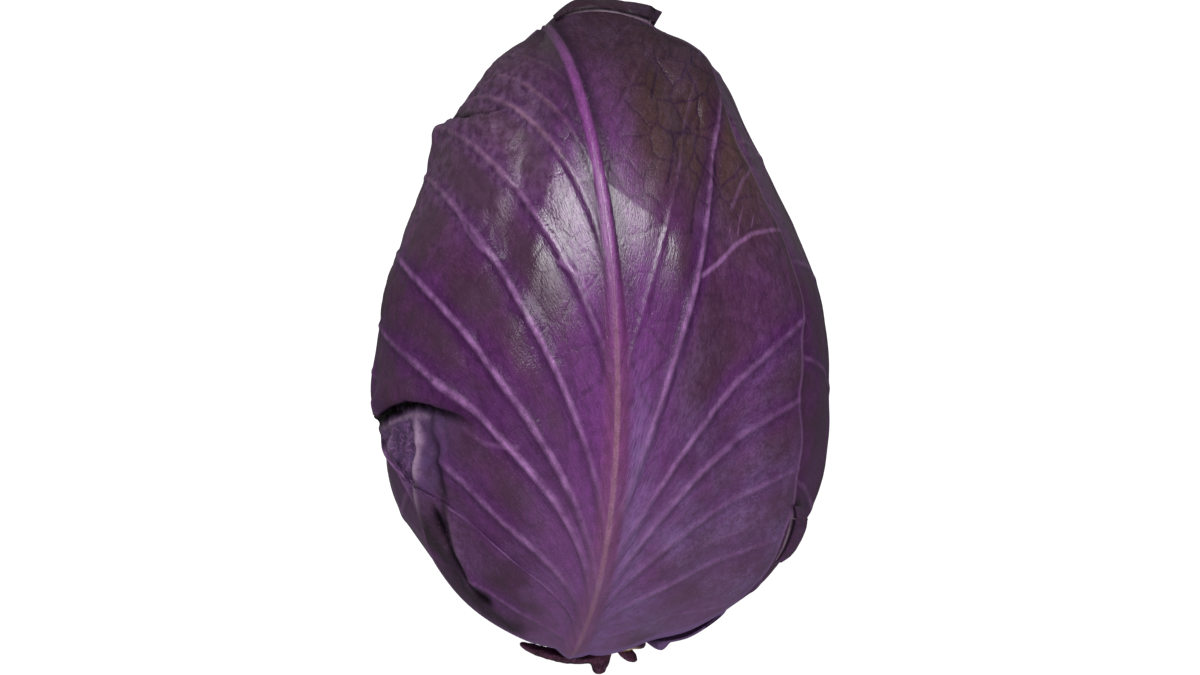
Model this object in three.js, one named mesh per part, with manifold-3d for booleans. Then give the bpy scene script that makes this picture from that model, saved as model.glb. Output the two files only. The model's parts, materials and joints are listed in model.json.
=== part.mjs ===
// A pointed red cabbage head, lying on its side. Millimetres, +Z up, the long axis along Y with the tip at +Y.
// The origin is the middle of the small flat spot that the head lies on.
//
// Every leaf is wrapped round one egg-shaped heart. Places on a leaf are given in degrees round the head, as on a
// globe whose zero is the middle of that leaf: "across" runs to the leaf's right and "along" runs up to its tip.
// Heights over the heart are in millimetres.
import * as THREE from "three";
import { mergeVertices } from "three/addons/utils/BufferGeometryUtils.js";
import Module from "manifold-3d";

// Driving dimensions
const HEART_LENGTH = 188; // the tight inner head, stem end to tip
const HEART_WIDTH = 129.5;
const BLADE = 1.1; // leaf blade
const AIR = 0.9; // between one leaf and the next
const VEIN_HEIGHT = 0.8; // the top leaf's side veins, at its midrib
const PRESSED_VEIN_HEIGHT = 0.45; // on the leaves under it
const RIB_HEIGHT = 2.6; // midrib, at the leaf's base
const RIB_HALF_WIDTH = 6.5;
const MOUND_WIDTH = 20; // half width of the swelling that a midrib makes in the leaves over it
const AXIS_HEIGHT = 67.3; // long axis over the surface it lies on
const STUMP_RADIUS = 12.5;
const STUMP_END = -100; // cut face, along Y

const TOP_LEAF = "outer_leaf_1";

const HALF_LENGTH = HEART_LENGTH / 2;
const HALF_WIDTH = HEART_WIDTH / 2;
const DEGREE = Math.PI / 180;
const MM_PER_DEGREE = 71 * DEGREE;

// The egg: narrower towards the tip, by these shares of its half length.
const EGG = { level: 0.995, narrowing: 0.14, rounding: -0.035 };

// Leaves from the innermost to the outermost. roll turns the leaf's middle from straight up towards +X.
// left, right, base and tip are how far the leaf reaches. notches and curls are [where round the margin, width,
// size]: a notch's size is a share of the leaf, a curl's is millimetres off the head.
const LEAVES = [
  {
    name: "outer_leaf_6",
    place: "covered",
    roll: 180,
    reach: { left: 74, right: 72, base: -77, tip: 84 },
    taper: 0.2,
    drift: { most: 3, at: 0, below: 0.002, above: 0.001 },
    notches: [[60, 12, -0.08]],
    curls: [[-25, 22, 2.5]],
    waves: { count: 9, height: 1.2, phase: 0.4 },
  },
  {
    name: "outer_leaf_5",
    place: "covered",
    roll: -62,
    reach: { left: 74, right: 76, base: -73, tip: 86 },
    taper: 0.16,
    drift: { most: -4, at: 5, below: -0.002, above: -0.001 },
    notches: [[40, 10, -0.06]],
    curls: [[20, 25, 2]],
    waves: { count: 8, height: 1.0, phase: 1.9 },
  },
  {
    name: "outer_leaf_4",
    place: "covered",
    roll: 62,
    reach: { left: 76, right: 72, base: -77, tip: 87 },
    taper: 0.18,
    drift: { most: 3, at: -5, below: 0.001, above: 0.002 },
    notches: [[-35, 9, -0.07]],
    curls: [[-30, 18, 3]],
    waves: { count: 10, height: 1.3, phase: 2.7 },
  },
  {
    name: "outer_leaf_3",
    place: "seen",
    roll: -120,
    reach: { left: 78, right: 84, base: -73, tip: 85 },
    taper: 0.2,
    drift: { most: -3, at: 0, below: -0.001, above: -0.003 },
    notches: [
      [74, 8, -0.07],
      [-50, 9, -0.08],
    ],
    curls: [
      [-70, 30, 2],
      [15, 20, 2.5],
    ],
    waves: { count: 9, height: 1.6, phase: 3.6 },
  },
  {
    name: "outer_leaf_2",
    place: "seen",
    roll: 138,
    reach: { left: 84, right: 82, base: -74, tip: 93 },
    taper: 0.22,
    drift: { most: 4, at: -8, below: 0.001, above: 0.003 },
    notches: [
      [-58, 9, -0.08],
      [66, 10, -0.06],
    ],
    curls: [
      [80, 26, 2.4],
      [0, 22, 3.5],
    ],
    waves: { count: 10, height: 1.8, phase: 5.1 },
  },
  {
    name: "outer_leaf_1",
    place: "top",
    roll: 0,
    reach: { left: 96, right: 66, base: -75, tip: 90 },
    taper: 0.2,
    drift: { most: 2.3, at: -8, below: 0.0028, above: 0.0032 },
    notches: [
      [-133, 16, -0.3],
      [104, 26, -0.17],
      [62, 14, -0.12],
      [12, 18, -0.12],
      [-25, 18, -0.04],
    ],
    curls: [
      [-107, 8, 2.5],
      [-137, 14, 2],
      [-52, 7, 2],
      [30, 30, 1],
    ],
    waves: { count: 11, height: 0.9, phase: 0.8 },
  },
];

// Side veins of the top leaf, base to tip: where each leaves the midrib, then for its left and its right half where
// it meets the margin, how strong it is (0 is no vein) and how it turns. A turn is the share of the way across and
// the share of the way up that a vein makes for before it bends outwards.
const half = (end, size, ...turn) => ({ end, size, turn });
const TOP_LEAF_VEINS = [
  { root: -72, left: half(-146, 0.7, 0.2, 0.6), right: half(148, 0.6, 0.12, 1) },
  { root: -68, left: half(-124, 0.8, 0.14, 0.75), right: half(133, 0.8, 0.12, 1) },
  { root: -62, left: half(-103, 0.9, 0.13, 0.7), right: half(120, 0.9, 0.14, 0.9) },
  { root: -57, left: half(-92, 1.1, 0.09, 0.78), right: half(108, 1, 0.17, 0.78) },
  { root: -49, left: half(-77, 1.2, 0.16, 0.62), right: half(93, 1.1, 0.2, 0.66) },
  { root: -38, left: half(-62, 1.2, 0.19, 0.56), right: half(48, 1.3, 0.24, 0.4) },
  { root: -12, left: half(-53, 1, 0.15, 0.5), right: half(37, 0.6, 0.2, 0.35) },
  { root: 8, left: half(-47, 1, 0.11, 0.7), right: half(31, 0, 0.2, 0.4) },
  { root: 26, left: half(-41, 0.8, 0.15, 0.65), right: half(24, 0.5, 0.2, 0.45) },
  { root: 45, left: half(-34, 0.7, 0.2, 0.55), right: half(14, 0.5, 0.2, 0.45) },
];
const SIDE_VEINS = { seen: 6, covered: 4 }; // on each half of the other leaves
const TURN_OUT = 0.22; // the other leaves' turns
const TURN_UP = { high: 0.5, low: 0.85 }; // the low ones soon run level
const plainHalf = (end) => half(end, 1, TURN_OUT, mix(TURN_UP.high, TURN_UP.low, ease((Math.abs(end) - 70) / 60)));
const onMargin = (end) => half(end, 0, 0.5, 0.02); // the first and last rows are the margin itself

const clamp = (x, low, high) => Math.min(high, Math.max(low, x));
const mix = (a, b, t) => a + (b - a) * t;
const bell = (x) => Math.exp(-x * x);
const ease = (t) => {
  const s = clamp(t, 0, 1);
  return s * s * (3 - 2 * s);
};

// The heart's surface and outward normal in a direction from its middle.
function eggPoint(d) {
  const wide = EGG.level - EGG.narrowing * d.y - EGG.rounding * d.y * d.y;
  return new THREE.Vector3(d.x * HALF_WIDTH * wide, d.y * HALF_LENGTH, d.z * HALF_WIDTH * wide);
}

function eggNormal(d) {
  const wide = EGG.level - EGG.narrowing * d.y - EGG.rounding * d.y * d.y;
  const slope = -EGG.narrowing - 2 * EGG.rounding * d.y;
  const around = d.x * d.x + d.z * d.z;
  return new THREE.Vector3(
    d.x * HALF_LENGTH,
    HALF_WIDTH * (d.y * wide - around * slope),
    d.z * HALF_LENGTH,
  ).normalize();
}

// Where the head departs from a plain egg. at and width are places along it, as shares of its half length.
const DEPARTURES = {
  lean: { size: 4.6, at: 0.62, width: 0.34 }, // the right shoulder lies lower
  blunt: { size: 2.2, at: 0.87, width: 0.1 }, // the tip is blunt
  flanks: { size: 2.2, at: 0.17, width: 0.24 }, // the flanks are full
  hip: { size: 3.4, at: -0.5, width: 0.16 }, // the left side stays full lower down
  base: { size: 1.2, slant: 2, at: -0.93, width: 0.1 }, // the stalk end is cut back, more on the right
};
function swell(d) {
  const share = ({ at, width }) => bell((d.y - at) / width);
  const slow = 0.9 * Math.sin(3.1 * d.x + 2.3 * d.y + 0.6) * Math.cos(2.7 * d.z - 1.9 * d.y);
  const quick = 0.5 * Math.sin(5.3 * d.y + 4.1 * d.x - 2.2 * d.z);
  const { lean, blunt, flanks, hip, base } = DEPARTURES;
  const upper = blunt.size * share(blunt) - lean.size * Math.max(d.x, 0) ** 1.5 * share(lean);
  const sides = flanks.size * d.x * d.x * share(flanks) + hip.size * Math.min(d.x, 0) ** 2 * share(hip);
  return slow + quick + upper + sides - (base.size + base.slant * d.x) * share(base);
}

function direction(leaf, across, along) {
  const far = Math.hypot(across, along) * DEGREE;
  const share = far < 1e-9 ? 1 : Math.sin(far) / far;
  const front = Math.cos(far);
  const side = across * DEGREE * share;
  const turn = leaf.roll * DEGREE;
  return new THREE.Vector3(
    front * Math.sin(turn) + side * Math.cos(turn),
    along * DEGREE * share,
    front * Math.cos(turn) - side * Math.sin(turn),
  );
}

function placeOn(leaf, d) {
  const turn = leaf.roll * DEGREE;
  const front = clamp(d.x * Math.sin(turn) + d.z * Math.cos(turn), -1, 1);
  const side = d.x * Math.cos(turn) - d.z * Math.sin(turn);
  const far = Math.acos(front);
  const share = far / Math.max(Math.sin(far), 1e-6) / DEGREE;
  return { across: side * share, along: d.y * share };
}

// The margin: an egg-shaped outline with notches and small uneven waves. where is 0 at the tip and 180 at the base,
// and less than 0 on the leaf's left half.
function marginScale(leaf, where) {
  const a = where * DEGREE;
  const uneven = (0.012 * Math.sin(13 * a + leaf.roll) + 0.008 * Math.sin(29 * a)) * Math.abs(Math.sin(a));
  return leaf.notches.reduce((sum, [at, width, size]) => sum + size * bell((where - at) / width), 1 + uneven);
}

function marginPoint(leaf, where) {
  const { left, right, base, tip } = leaf.reach;
  const scale = marginScale(leaf, where);
  const up = Math.cos(where * DEGREE) * scale;
  const out = Math.sin(where * DEGREE) * scale;
  const wide = (where < 0 ? left : right) * (1 - leaf.taper * up);
  return { across: out * wide, along: (tip + base) / 2 + (up * (tip - base)) / 2 };
}

// 0 in the leaf's middle and 1 on its margin.
function levelOn(leaf, { across, along }) {
  const { left, right, base, tip } = leaf.reach;
  const up = (along - (tip + base) / 2) / ((tip - base) / 2);
  const wide = (across < 0 ? left : right) * Math.max(1 - leaf.taper * up, 0.3);
  const out = across / wide;
  return Math.hypot(out, up) / marginScale(leaf, Math.atan2(out, up) / DEGREE);
}

function midribAcross(leaf, along) {
  const { most, at, below, above } = leaf.drift;
  return most - (along < at ? below : above) * (along - at) ** 2;
}

// Shares of the midrib's size from the leaf's base to its tip.
function ribShare(leaf, along) {
  const t = clamp((along - leaf.reach.base) / (leaf.reach.tip - leaf.reach.base), 0, 1);
  return { height: mix(1, 0.14, t ** 0.6), width: mix(1, 0.16, t ** 0.75) };
}

// Room that a leaf takes over what it lies on, and where it takes it: leaves further out rest on this.
const COVER = { start: 1.08, width: 0.16 };
const TOP_COVER = { start: 1.03, width: 0.08 };
function cover(leaf, d) {
  const { start, width } = leaf.name === TOP_LEAF ? TOP_COVER : COVER;
  return 1 - ease((levelOn(leaf, placeOn(leaf, d)) - start) / width);
}

function veinHeight(leaf) {
  return leaf.name === TOP_LEAF ? VEIN_HEIGHT : PRESSED_VEIN_HEIGHT;
}

function roomFor(leaf, d) {
  const place = placeOn(leaf, d);
  const off = ((place.across - midribAcross(leaf, place.along)) * MM_PER_DEGREE) / MOUND_WIDTH;
  return AIR + BLADE + veinHeight(leaf) + RIB_HEIGHT * ribShare(leaf, place.along).height * bell(off);
}

function heightUnder(index, d) {
  let height = 0;
  for (let i = 0; i < index; i++) {
    const share = cover(LEAVES[i], d);
    if (share > 0) height += share * roomFor(LEAVES[i], d);
  }
  return height;
}

function openAbove(index, d) {
  return LEAVES.slice(index + 1).reduce((open, leaf) => Math.min(open, 1 - cover(leaf, d)), 1);
}

// A point over the heart, pressed flat where the head lies. underneath is the room that leaves further out need.
function overHeart(d, height, underneath) {
  const point = eggPoint(d).addScaledVector(eggNormal(d), height + swell(d));
  point.z = Math.max(point.z + AXIS_HEIGHT, underneath);
  return point;
}

// How far a free margin stands off the head.
function lift(leaf, where, level) {
  const { count, height, phase } = leaf.waves;
  const wave = height * (0.5 + 0.5 * Math.sin(count * where * DEGREE + phase));
  const curl = leaf.curls.reduce((sum, [at, width, size]) => sum + size * bell((where - at) / width), 0);
  return ease((level - 0.8) / 0.2) * wave + ease((level - 0.88) / 0.12) * curl;
}

// Rows of a leaf follow its side veins. Each row is one curve from the midrib to the margin on each side.
function veinsOf(leaf, index) {
  if (leaf.name === TOP_LEAF) return TOP_LEAF_VEINS;
  const { base, tip } = leaf.reach;
  const pairs = SIDE_VEINS[leaf.place];
  return Array.from({ length: pairs }, (_, k) => {
    const t = (k + 0.6) / pairs;
    const uneven = 2.2 * Math.sin(2.4 * k + 1.7 * index);
    const root = mix(base + 4, tip - 46, t ** 1.15) + uneven;
    return { root, left: plainHalf(-mix(156, 30, t) - uneven), right: plainHalf(mix(154, 28, t) - uneven) };
  });
}

function guidesOf(leaf, index) {
  const { left, right, base, tip } = leaf.reach;
  const [low, high] = [base, tip].map((along) => midribAcross(leaf, along));
  const bottom = Math.atan2(low / (low < 0 ? left : right) / (1 + leaf.taper), -1) / DEGREE;
  const top = Math.atan2(high / (high < 0 ? left : right) / (1 - leaf.taper), 1) / DEGREE;
  return [
    { root: marginPoint(leaf, bottom).along, left: onMargin(-163), right: onMargin(163), middle: bottom },
    ...veinsOf(leaf, index),
    { root: marginPoint(leaf, top).along, left: onMargin(top - 8), right: onMargin(top + 8), middle: top },
  ];
}

// A smooth curve through the guides' values, at a whole or broken row number.
function between(guides, read, row) {
  const last = guides.length - 1;
  const k = Math.min(Math.floor(row), last - 1);
  const value = (i) => read(guides[clamp(i, 0, last)]);
  const slope = (i) => (value(i + 1) - value(i - 1)) / (i > 0 && i < last ? 2 : 1);
  const t = row - k;
  const t2 = t * t;
  const t3 = t2 * t;
  const start = (2 * t3 - 3 * t2 + 1) * value(k) + (t3 - 2 * t2 + t) * slope(k);
  return start + (3 * t2 - 2 * t3) * value(k + 1) + (t3 - t2) * slope(k + 1);
}

// A place on a row. share is 0 on the midrib and 1 on the margin. A row rises beside the midrib and turns out.
function rowPoint(leaf, guides, row, side, share) {
  const root = between(guides, (guide) => guide.root, row);
  const hand = side < 0 ? "left" : "right";
  const where = between(guides, (guide) => guide[hand].end, row);
  const [out, up] = [0, 1].map((i) => between(guides, (guide) => guide[hand].turn[i], row));
  const end = marginPoint(leaf, where);
  const wide = end.across - midribAcross(leaf, end.along);
  const bent = Math.min(row, guides.length - 1 - row, 1);
  const u = share === 0 ? 0 : share / (out + Math.sqrt(out * out + (1 - 2 * out) * share));
  const along = (1 - u) ** 2 * root + 2 * u * (1 - u) * mix(root, end.along, up) + u * u * end.along;
  const bottom = guides[0].middle + (guides[0].middle * side < 0 ? 360 * side : 0);
  const middle = row < 1 ? bottom : guides.at(-1).middle;
  const edge = marginPoint(leaf, mix(middle, where, share));
  return {
    across: mix(edge.across, midribAcross(leaf, along) + share * wide, bent),
    along: mix(edge.along, along, bent),
    where,
    ribFoot: clamp((RIB_HALF_WIDTH * ribShare(leaf, root).width) / MM_PER_DEGREE / Math.abs(wide), 0.02, 0.2),
  };
}

// Rows stand at each vein and close on both of its sides, with plain rows between them where they are far apart.
const VEIN_FLANK = 0.17;
const ROW_SPACING = 10; // degrees
function rowsOf(leaf, guides) {
  const last = guides.length - 1;
  const rows = [];
  for (let k = 0; k < last; k++) {
    const start = k === 0 ? 0 : k + VEIN_FLANK;
    const end = k === last - 1 ? last : k + 1 - VEIN_FLANK;
    const margins = [-1, 1].map((side) => {
      const [a, b] = [k, k + 1].map((row) => marginPoint(leaf, guides[row][side < 0 ? "left" : "right"].end));
      return Math.hypot(a.across - b.across, a.along - b.along);
    });
    const widest = Math.max(...margins, guides[k + 1].root - guides[k].root) * (end - start);
    const parts = Math.max(2, Math.round(widest / ROW_SPACING));
    rows.push(k);
    const first = k === 0 ? 1 : 0;
    const final = k === last - 1 ? parts - 1 : parts;
    for (let i = first; i <= final; i++) rows.push(mix(start, end, i / parts));
  }
  return [...rows, last];
}

const COLUMNS = { top: 9, seen: 8, covered: 6 }; // from the midrib to one margin
function columnsOf(steps) {
  const outwards = [0.5, 1];
  for (let i = 1; i <= steps; i++) outwards.push(1 + i / steps);
  return [...outwards.map((c) => -c).reverse(), 0, ...outwards];
}

// One leaf as a closed sheet: an outer face with its ribs and veins, an inner face, and a margin between them.
function leafGeometry(leaf, index, steps) {
  const guides = guidesOf(leaf, index);
  const rows = rowsOf(leaf, guides);
  const columns = columnsOf(steps);
  const sheet = new THREE.PlaneGeometry(1, 1, columns.length - 1, rows.length - 1);
  const count = sheet.attributes.position.count;
  const positions = new Float32Array(count * 6);

  rows.forEach((row, i) => {
    columns.forEach((column, j) => {
      const side = column < 0 ? -1 : 1;
      const c = Math.abs(column);
      const foot = rowPoint(leaf, guides, row, side, 0).ribFoot;
      const share = c <= 1 ? c * foot : mix(foot, 1, c - 1);
      const place = rowPoint(leaf, guides, row, side, share);
      const d = direction(leaf, place.across, place.along);
      const level = levelOn(leaf, place);
      const rib = RIB_HEIGHT * ribShare(leaf, place.along).height * (c >= 1 ? 0 : c > 0 ? 0.62 : 1);
      const { size } = guides[Math.round(row)][side < 0 ? "left" : "right"];
      const near = clamp(1 - Math.abs(row - Math.round(row)) / VEIN_FLANK, 0, 1);
      const vein = veinHeight(leaf) * Math.min(size, 1) * near * (1 - 0.7 * share) * (c > 1 ? 1 : c);
      const thickness = mix(BLADE, 0.7, ease((level - 0.9) / 0.1)) + Math.max(rib, vein);
      const under = heightUnder(index, d) + AIR + lift(leaf, place.where, level) * openAbove(index, d);
      const beyond = Math.max(0, heightUnder(LEAVES.length, d) - heightUnder(index + 1, d));
      const outer = overHeart(d, under + thickness, beyond);
      const inner = overHeart(d, under, beyond + thickness);
      // The plane's first row is its top, so rows are stored from the tip down.
      const at = (rows.length - 1 - i) * columns.length + j;
      outer.toArray(positions, at * 3);
      inner.toArray(positions, (count + at) * 3);
    });
  });

  const faces = [];
  const front = sheet.index.array;
  for (let i = 0; i < front.length; i += 3) {
    faces.push(front[i], front[i + 1], front[i + 2]);
    faces.push(count + front[i], count + front[i + 2], count + front[i + 1]);
  }
  const wide = columns.length;
  const high = rows.length;
  const rim = [];
  for (let j = 0; j < wide - 1; j++) rim.push(j);
  for (let i = 0; i < high - 1; i++) rim.push(i * wide + wide - 1);
  for (let j = wide - 1; j > 0; j--) rim.push((high - 1) * wide + j);
  for (let i = high - 1; i > 0; i--) rim.push(i * wide);
  rim.forEach((a, i) => {
    const b = rim[(i + 1) % rim.length];
    faces.push(a, b, count + a, b, count + b, count + a);
  });
  return new THREE.BufferGeometry()
    .setAttribute("position", new THREE.BufferAttribute(positions, 3))
    .setIndex(faces);
}

function positionsOnly(geometry) {
  geometry.deleteAttribute("normal");
  geometry.deleteAttribute("uv");
  return mergeVertices(geometry, 1e-4);
}

// The tight inner leaves, with the margins of three of them standing over the next round the tip.
const HEART_MARGINS = [
  { roll: 150, reach: 74, step: 1.3 },
  { roll: 20, reach: 70, step: 1.3 },
  { roll: -95, reach: 66, step: 1.2 },
];
const HEART_BASE = -85; // flat face that the stump meets
function heartGeometry() {
  const geometry = positionsOnly(new THREE.SphereGeometry(1, 36, 26));
  const position = geometry.attributes.position;
  const deepest = HEART_MARGINS.reduce((sum, { step }) => sum + step, 0);
  for (let i = 0; i < position.count; i++) {
    const d = new THREE.Vector3().fromBufferAttribute(position, i).normalize();
    const relief = HEART_MARGINS.reduce((sum, { roll, reach, step }) => {
      const { across, along } = placeOn({ roll }, d);
      return sum + step * (1 - ease((Math.hypot(across, (along - 10) * 0.8) - reach) / 6));
    }, -deepest);
    const beyond = heightUnder(LEAVES.length, d);
    const point = overHeart(d, relief, beyond);
    point.y = Math.max(point.y, HEART_BASE);
    position.setXYZ(i, point.x, point.y, point.z);
  }
  return mergeVertices(geometry, 1e-4);
}

// The cut stalk, with the bases of leaves that were broken off it.
const BROKEN_BASES = [
  { start: [1, -101, 7], bend: [-13, -104.5, 7], end: [-29, -97, 5], wide: [0, 0, 1], width: 6, thickness: 2.6 },
  { start: [0, -95, 6], bend: [-2, -101, 7], end: [-3.2, -107.8, 7], wide: [1, 0, 0], width: 3.6, thickness: 4.4 },
  { start: [2, -98, -4], bend: [6, -102, -8], end: [9, -102.5, -12], wide: [0, 0.4, -1], width: 5, thickness: 2.2 },
];
const wasm = await Module();
wasm.setup();

function toSolid(geometry) {
  const merged = positionsOnly(geometry);
  return new wasm.Manifold(
    new wasm.Mesh({
      numProp: 3,
      vertProperties: new Float32Array(merged.attributes.position.array),
      triVerts: new Uint32Array(merged.index.array),
    }),
  );
}

function fromSolid(solid) {
  const { vertProperties, triVerts } = solid.getMesh();
  return new THREE.BufferGeometry()
    .setAttribute("position", new THREE.BufferAttribute(new Float32Array(vertProperties), 3))
    .setIndex(new THREE.BufferAttribute(new Uint32Array(triVerts), 1));
}

function stumpGeometry() {
  const top = HEART_BASE - 0.4;
  const profile = [
    [0, STUMP_END + 0.5],
    [STUMP_RADIUS * 0.62, STUMP_END + 0.2],
    [STUMP_RADIUS * 0.94, STUMP_END],
    [STUMP_RADIUS, STUMP_END + 1.2],
    [STUMP_RADIUS * 1.04, STUMP_END + 4],
    [STUMP_RADIUS * 1.18, STUMP_END + 7],
    [STUMP_RADIUS * 1.42, STUMP_END + 10],
    [STUMP_RADIUS * 1.5, top],
    [0, top],
  ].map(([r, y]) => new THREE.Vector2(r, y));
  const geometry = positionsOnly(new THREE.LatheGeometry(profile, 22));
  const position = geometry.attributes.position;
  for (let i = 0; i < position.count; i++) {
    const [x, y, z] = [position.getX(i), position.getY(i), position.getZ(i)];
    const angle = Math.atan2(z, x);
    const scale = 1 + 0.035 * Math.cos(5 * angle + 0.9 * y) + 0.02 * Math.cos(3 * angle);
    position.setXYZ(i, x * scale, y, z * scale);
  }
  return geometry;
}

// A blunt tongue along a bent path. width runs along its wide way and thickness across that.
function brokenBaseGeometry({ start, bend, end, wide, width, thickness }) {
  const path = new THREE.QuadraticBezierCurve3(...[start, bend, end].map((p) => new THREE.Vector3(...p)));
  const geometry = positionsOnly(new THREE.SphereGeometry(1, 14, 10));
  const position = geometry.attributes.position;
  for (let i = 0; i < position.count; i++) {
    const [x, y, z] = [position.getX(i), position.getY(i), position.getZ(i)];
    const along = path.getTangent((y + 1) / 2);
    const across = new THREE.Vector3(...wide).projectOnPlane(along).normalize();
    const through = across.clone().cross(along);
    const round = Math.hypot(x, z);
    const blunt = round < 1e-6 ? 0 : round ** 0.6 / round;
    const torn = 1 + 0.08 * Math.sin(7 * Math.atan2(z, x) + 9 * y);
    const point = path.getPoint((y + 1) / 2);
    point.addScaledVector(across, x * blunt * width * torn);
    point.addScaledVector(through, z * blunt * thickness * torn);
    position.setXYZ(i, point.x, point.y, point.z);
  }
  return geometry;
}

function stalkGeometry() {
  const bases = BROKEN_BASES.map((base) => toSolid(brokenBaseGeometry(base)));
  const whole = bases.reduce((sum, base) => sum.add(base), toSolid(stumpGeometry()));
  const clear = whole.trimByPlane([0, -1, 0], 0.4 - HEART_BASE);
  return fromSolid(clear).translate(0, 0, AXIS_HEIGHT);
}

const leafMaterial = (color) => new THREE.MeshStandardMaterial({ color, roughness: 0.42, metalness: 0 });
const MATERIALS = {
  topLeaf: leafMaterial(0x5a3260),
  outerLeaf: leafMaterial(0x4f2c56),
  heart: leafMaterial(0x6b3a72),
  stalk: new THREE.MeshStandardMaterial({ color: 0xb9a98c, roughness: 0.7, metalness: 0 }),
};

const group = new THREE.Group();
function addPiece(name, geometry, material) {
  const mesh = new THREE.Mesh(geometry, material);
  mesh.name = name;
  group.add(mesh);
}

addPiece("heart", heartGeometry(), MATERIALS.heart);
addPiece("stalk", stalkGeometry(), MATERIALS.stalk);
LEAVES.forEach((leaf, index) => {
  const material = leaf.name === TOP_LEAF ? MATERIALS.topLeaf : MATERIALS.outerLeaf;
  addPiece(leaf.name, leafGeometry(leaf, index, COLUMNS[leaf.place]), material);
});

export default group;
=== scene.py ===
# %% [markdown]
# A pointed red cabbage head
#
# The head lies on its side on a pale table and the camera looks straight down on its top leaf. The CAD model
# has the right shapes but only coarse faces. Here each leaf is made again from the same rules with many more
# faces, so that the veins, folds and puckers of a real leaf fit on it. Then every piece gets its colour and
# its wax.

# %% Load the CAD model
import json
import math
from types import SimpleNamespace

import bpy
import numpy as np
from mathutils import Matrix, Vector

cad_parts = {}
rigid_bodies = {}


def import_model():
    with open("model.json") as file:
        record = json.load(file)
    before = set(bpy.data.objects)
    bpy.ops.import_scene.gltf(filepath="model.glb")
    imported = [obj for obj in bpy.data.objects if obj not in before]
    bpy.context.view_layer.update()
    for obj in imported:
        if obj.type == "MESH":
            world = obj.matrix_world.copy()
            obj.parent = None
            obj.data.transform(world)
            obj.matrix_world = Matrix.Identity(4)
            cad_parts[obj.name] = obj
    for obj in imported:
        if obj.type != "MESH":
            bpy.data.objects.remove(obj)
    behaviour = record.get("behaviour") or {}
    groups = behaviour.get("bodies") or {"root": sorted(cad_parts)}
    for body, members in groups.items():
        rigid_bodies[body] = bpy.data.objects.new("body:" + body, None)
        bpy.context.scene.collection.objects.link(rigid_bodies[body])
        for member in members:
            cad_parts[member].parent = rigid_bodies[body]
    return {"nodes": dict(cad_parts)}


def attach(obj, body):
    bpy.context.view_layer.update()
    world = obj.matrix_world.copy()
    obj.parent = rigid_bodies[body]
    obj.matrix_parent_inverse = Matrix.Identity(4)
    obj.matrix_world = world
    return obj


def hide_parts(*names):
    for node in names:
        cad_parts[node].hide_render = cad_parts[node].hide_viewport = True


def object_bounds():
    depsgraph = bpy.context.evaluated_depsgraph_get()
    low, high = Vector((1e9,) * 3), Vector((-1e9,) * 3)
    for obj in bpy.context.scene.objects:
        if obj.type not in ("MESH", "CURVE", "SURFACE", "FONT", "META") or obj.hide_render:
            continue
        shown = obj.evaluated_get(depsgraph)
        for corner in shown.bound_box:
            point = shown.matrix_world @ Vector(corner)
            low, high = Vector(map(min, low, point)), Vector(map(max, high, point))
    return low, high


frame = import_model()
CAD_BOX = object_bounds()
MM = 0.001
BODY = "root"
print("CAD nodes:", ", ".join(sorted(frame["nodes"])))
print("CAD box in mm:", [[round(value / MM, 1) for value in corner] for corner in CAD_BOX])

# %% [markdown]
# Camera and light
#
# The photograph was taken from straight above with a long lens, so both sides of the head show evenly. One
# big softbox stands far behind the tip and leaves its bright patch beside the midrib. A weak one at the stalk
# end and a dim room fill the rest. The picture was cut out on white, so the table shines white at the camera
# and only dimly at the head; a white table all round would mirror as a grey veil in the wax.

# %% Camera
PHOTO_WIDTH = 1200
PIXELS_PER_MM = 3.11
SENSOR = 36.0
CAMERA_ABOVE_OUTLINE = 1.33
OUTLINE_HEIGHT = 0.067

scene = bpy.context.scene
seen_width = PHOTO_WIDTH / PIXELS_PER_MM * MM
camera = bpy.data.objects.new("Camera", bpy.data.cameras.new("Camera"))
camera.data.sensor_width = SENSOR
camera.data.lens = SENSOR * CAMERA_ABOVE_OUTLINE / seen_width
middle = [(low + high) / 2 for low, high in zip(*CAD_BOX)]
camera.location = (middle[0], middle[1], OUTLINE_HEIGHT + CAMERA_ABOVE_OUTLINE)
scene.collection.objects.link(camera)
scene.camera = camera
scene.view_settings.view_transform = "Standard"
print(f"lens {camera.data.lens:.1f} mm, {seen_width / MM:.0f} mm of the table seen across the picture")

# %% Table and light
FLOOR_SIZE = 6.0
FLOOR_GREY = (0.14, 0.14, 0.14, 1)
TARGET_HEIGHT = 0.08
ROOM_COLOUR = (1.0, 0.99, 0.98, 1)
ROOM_LIGHT = 0.45
bpy.ops.mesh.primitive_plane_add(size=FLOOR_SIZE)
floor = bpy.context.object
floor.name = "table"
floor_paint = bpy.data.materials.new("table_white")
floor_paint.use_nodes = True
paint = floor_paint.node_tree.nodes["Principled BSDF"]
paint.inputs["Base Color"].default_value = FLOOR_GREY
paint.inputs["Roughness"].default_value = 1.0
paint.inputs["Specular IOR Level"].default_value = 0.0
paint.inputs["Emission Color"].default_value = (1, 1, 1, 1)
seen_by = floor_paint.node_tree.nodes.new("ShaderNodeLightPath")
floor_paint.node_tree.links.new(seen_by.outputs["Is Camera Ray"], paint.inputs["Emission Strength"])
floor.data.materials.append(floor_paint)


def softbox(name, direction, distance, size, power, mirrored=True):
    lamp = bpy.data.lights.new(name, "AREA")
    lamp.shape = "RECTANGLE"
    lamp.size, lamp.size_y = size
    lamp.energy = power
    holder = bpy.data.objects.new(name, lamp)
    target = Vector((middle[0], middle[1], TARGET_HEIGHT))
    away = Vector(direction).normalized()
    holder.location = target + away * distance
    holder.rotation_euler = away.to_track_quat("Z", "Y").to_euler()
    holder.visible_glossy = mirrored
    scene.collection.objects.link(holder)


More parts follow.
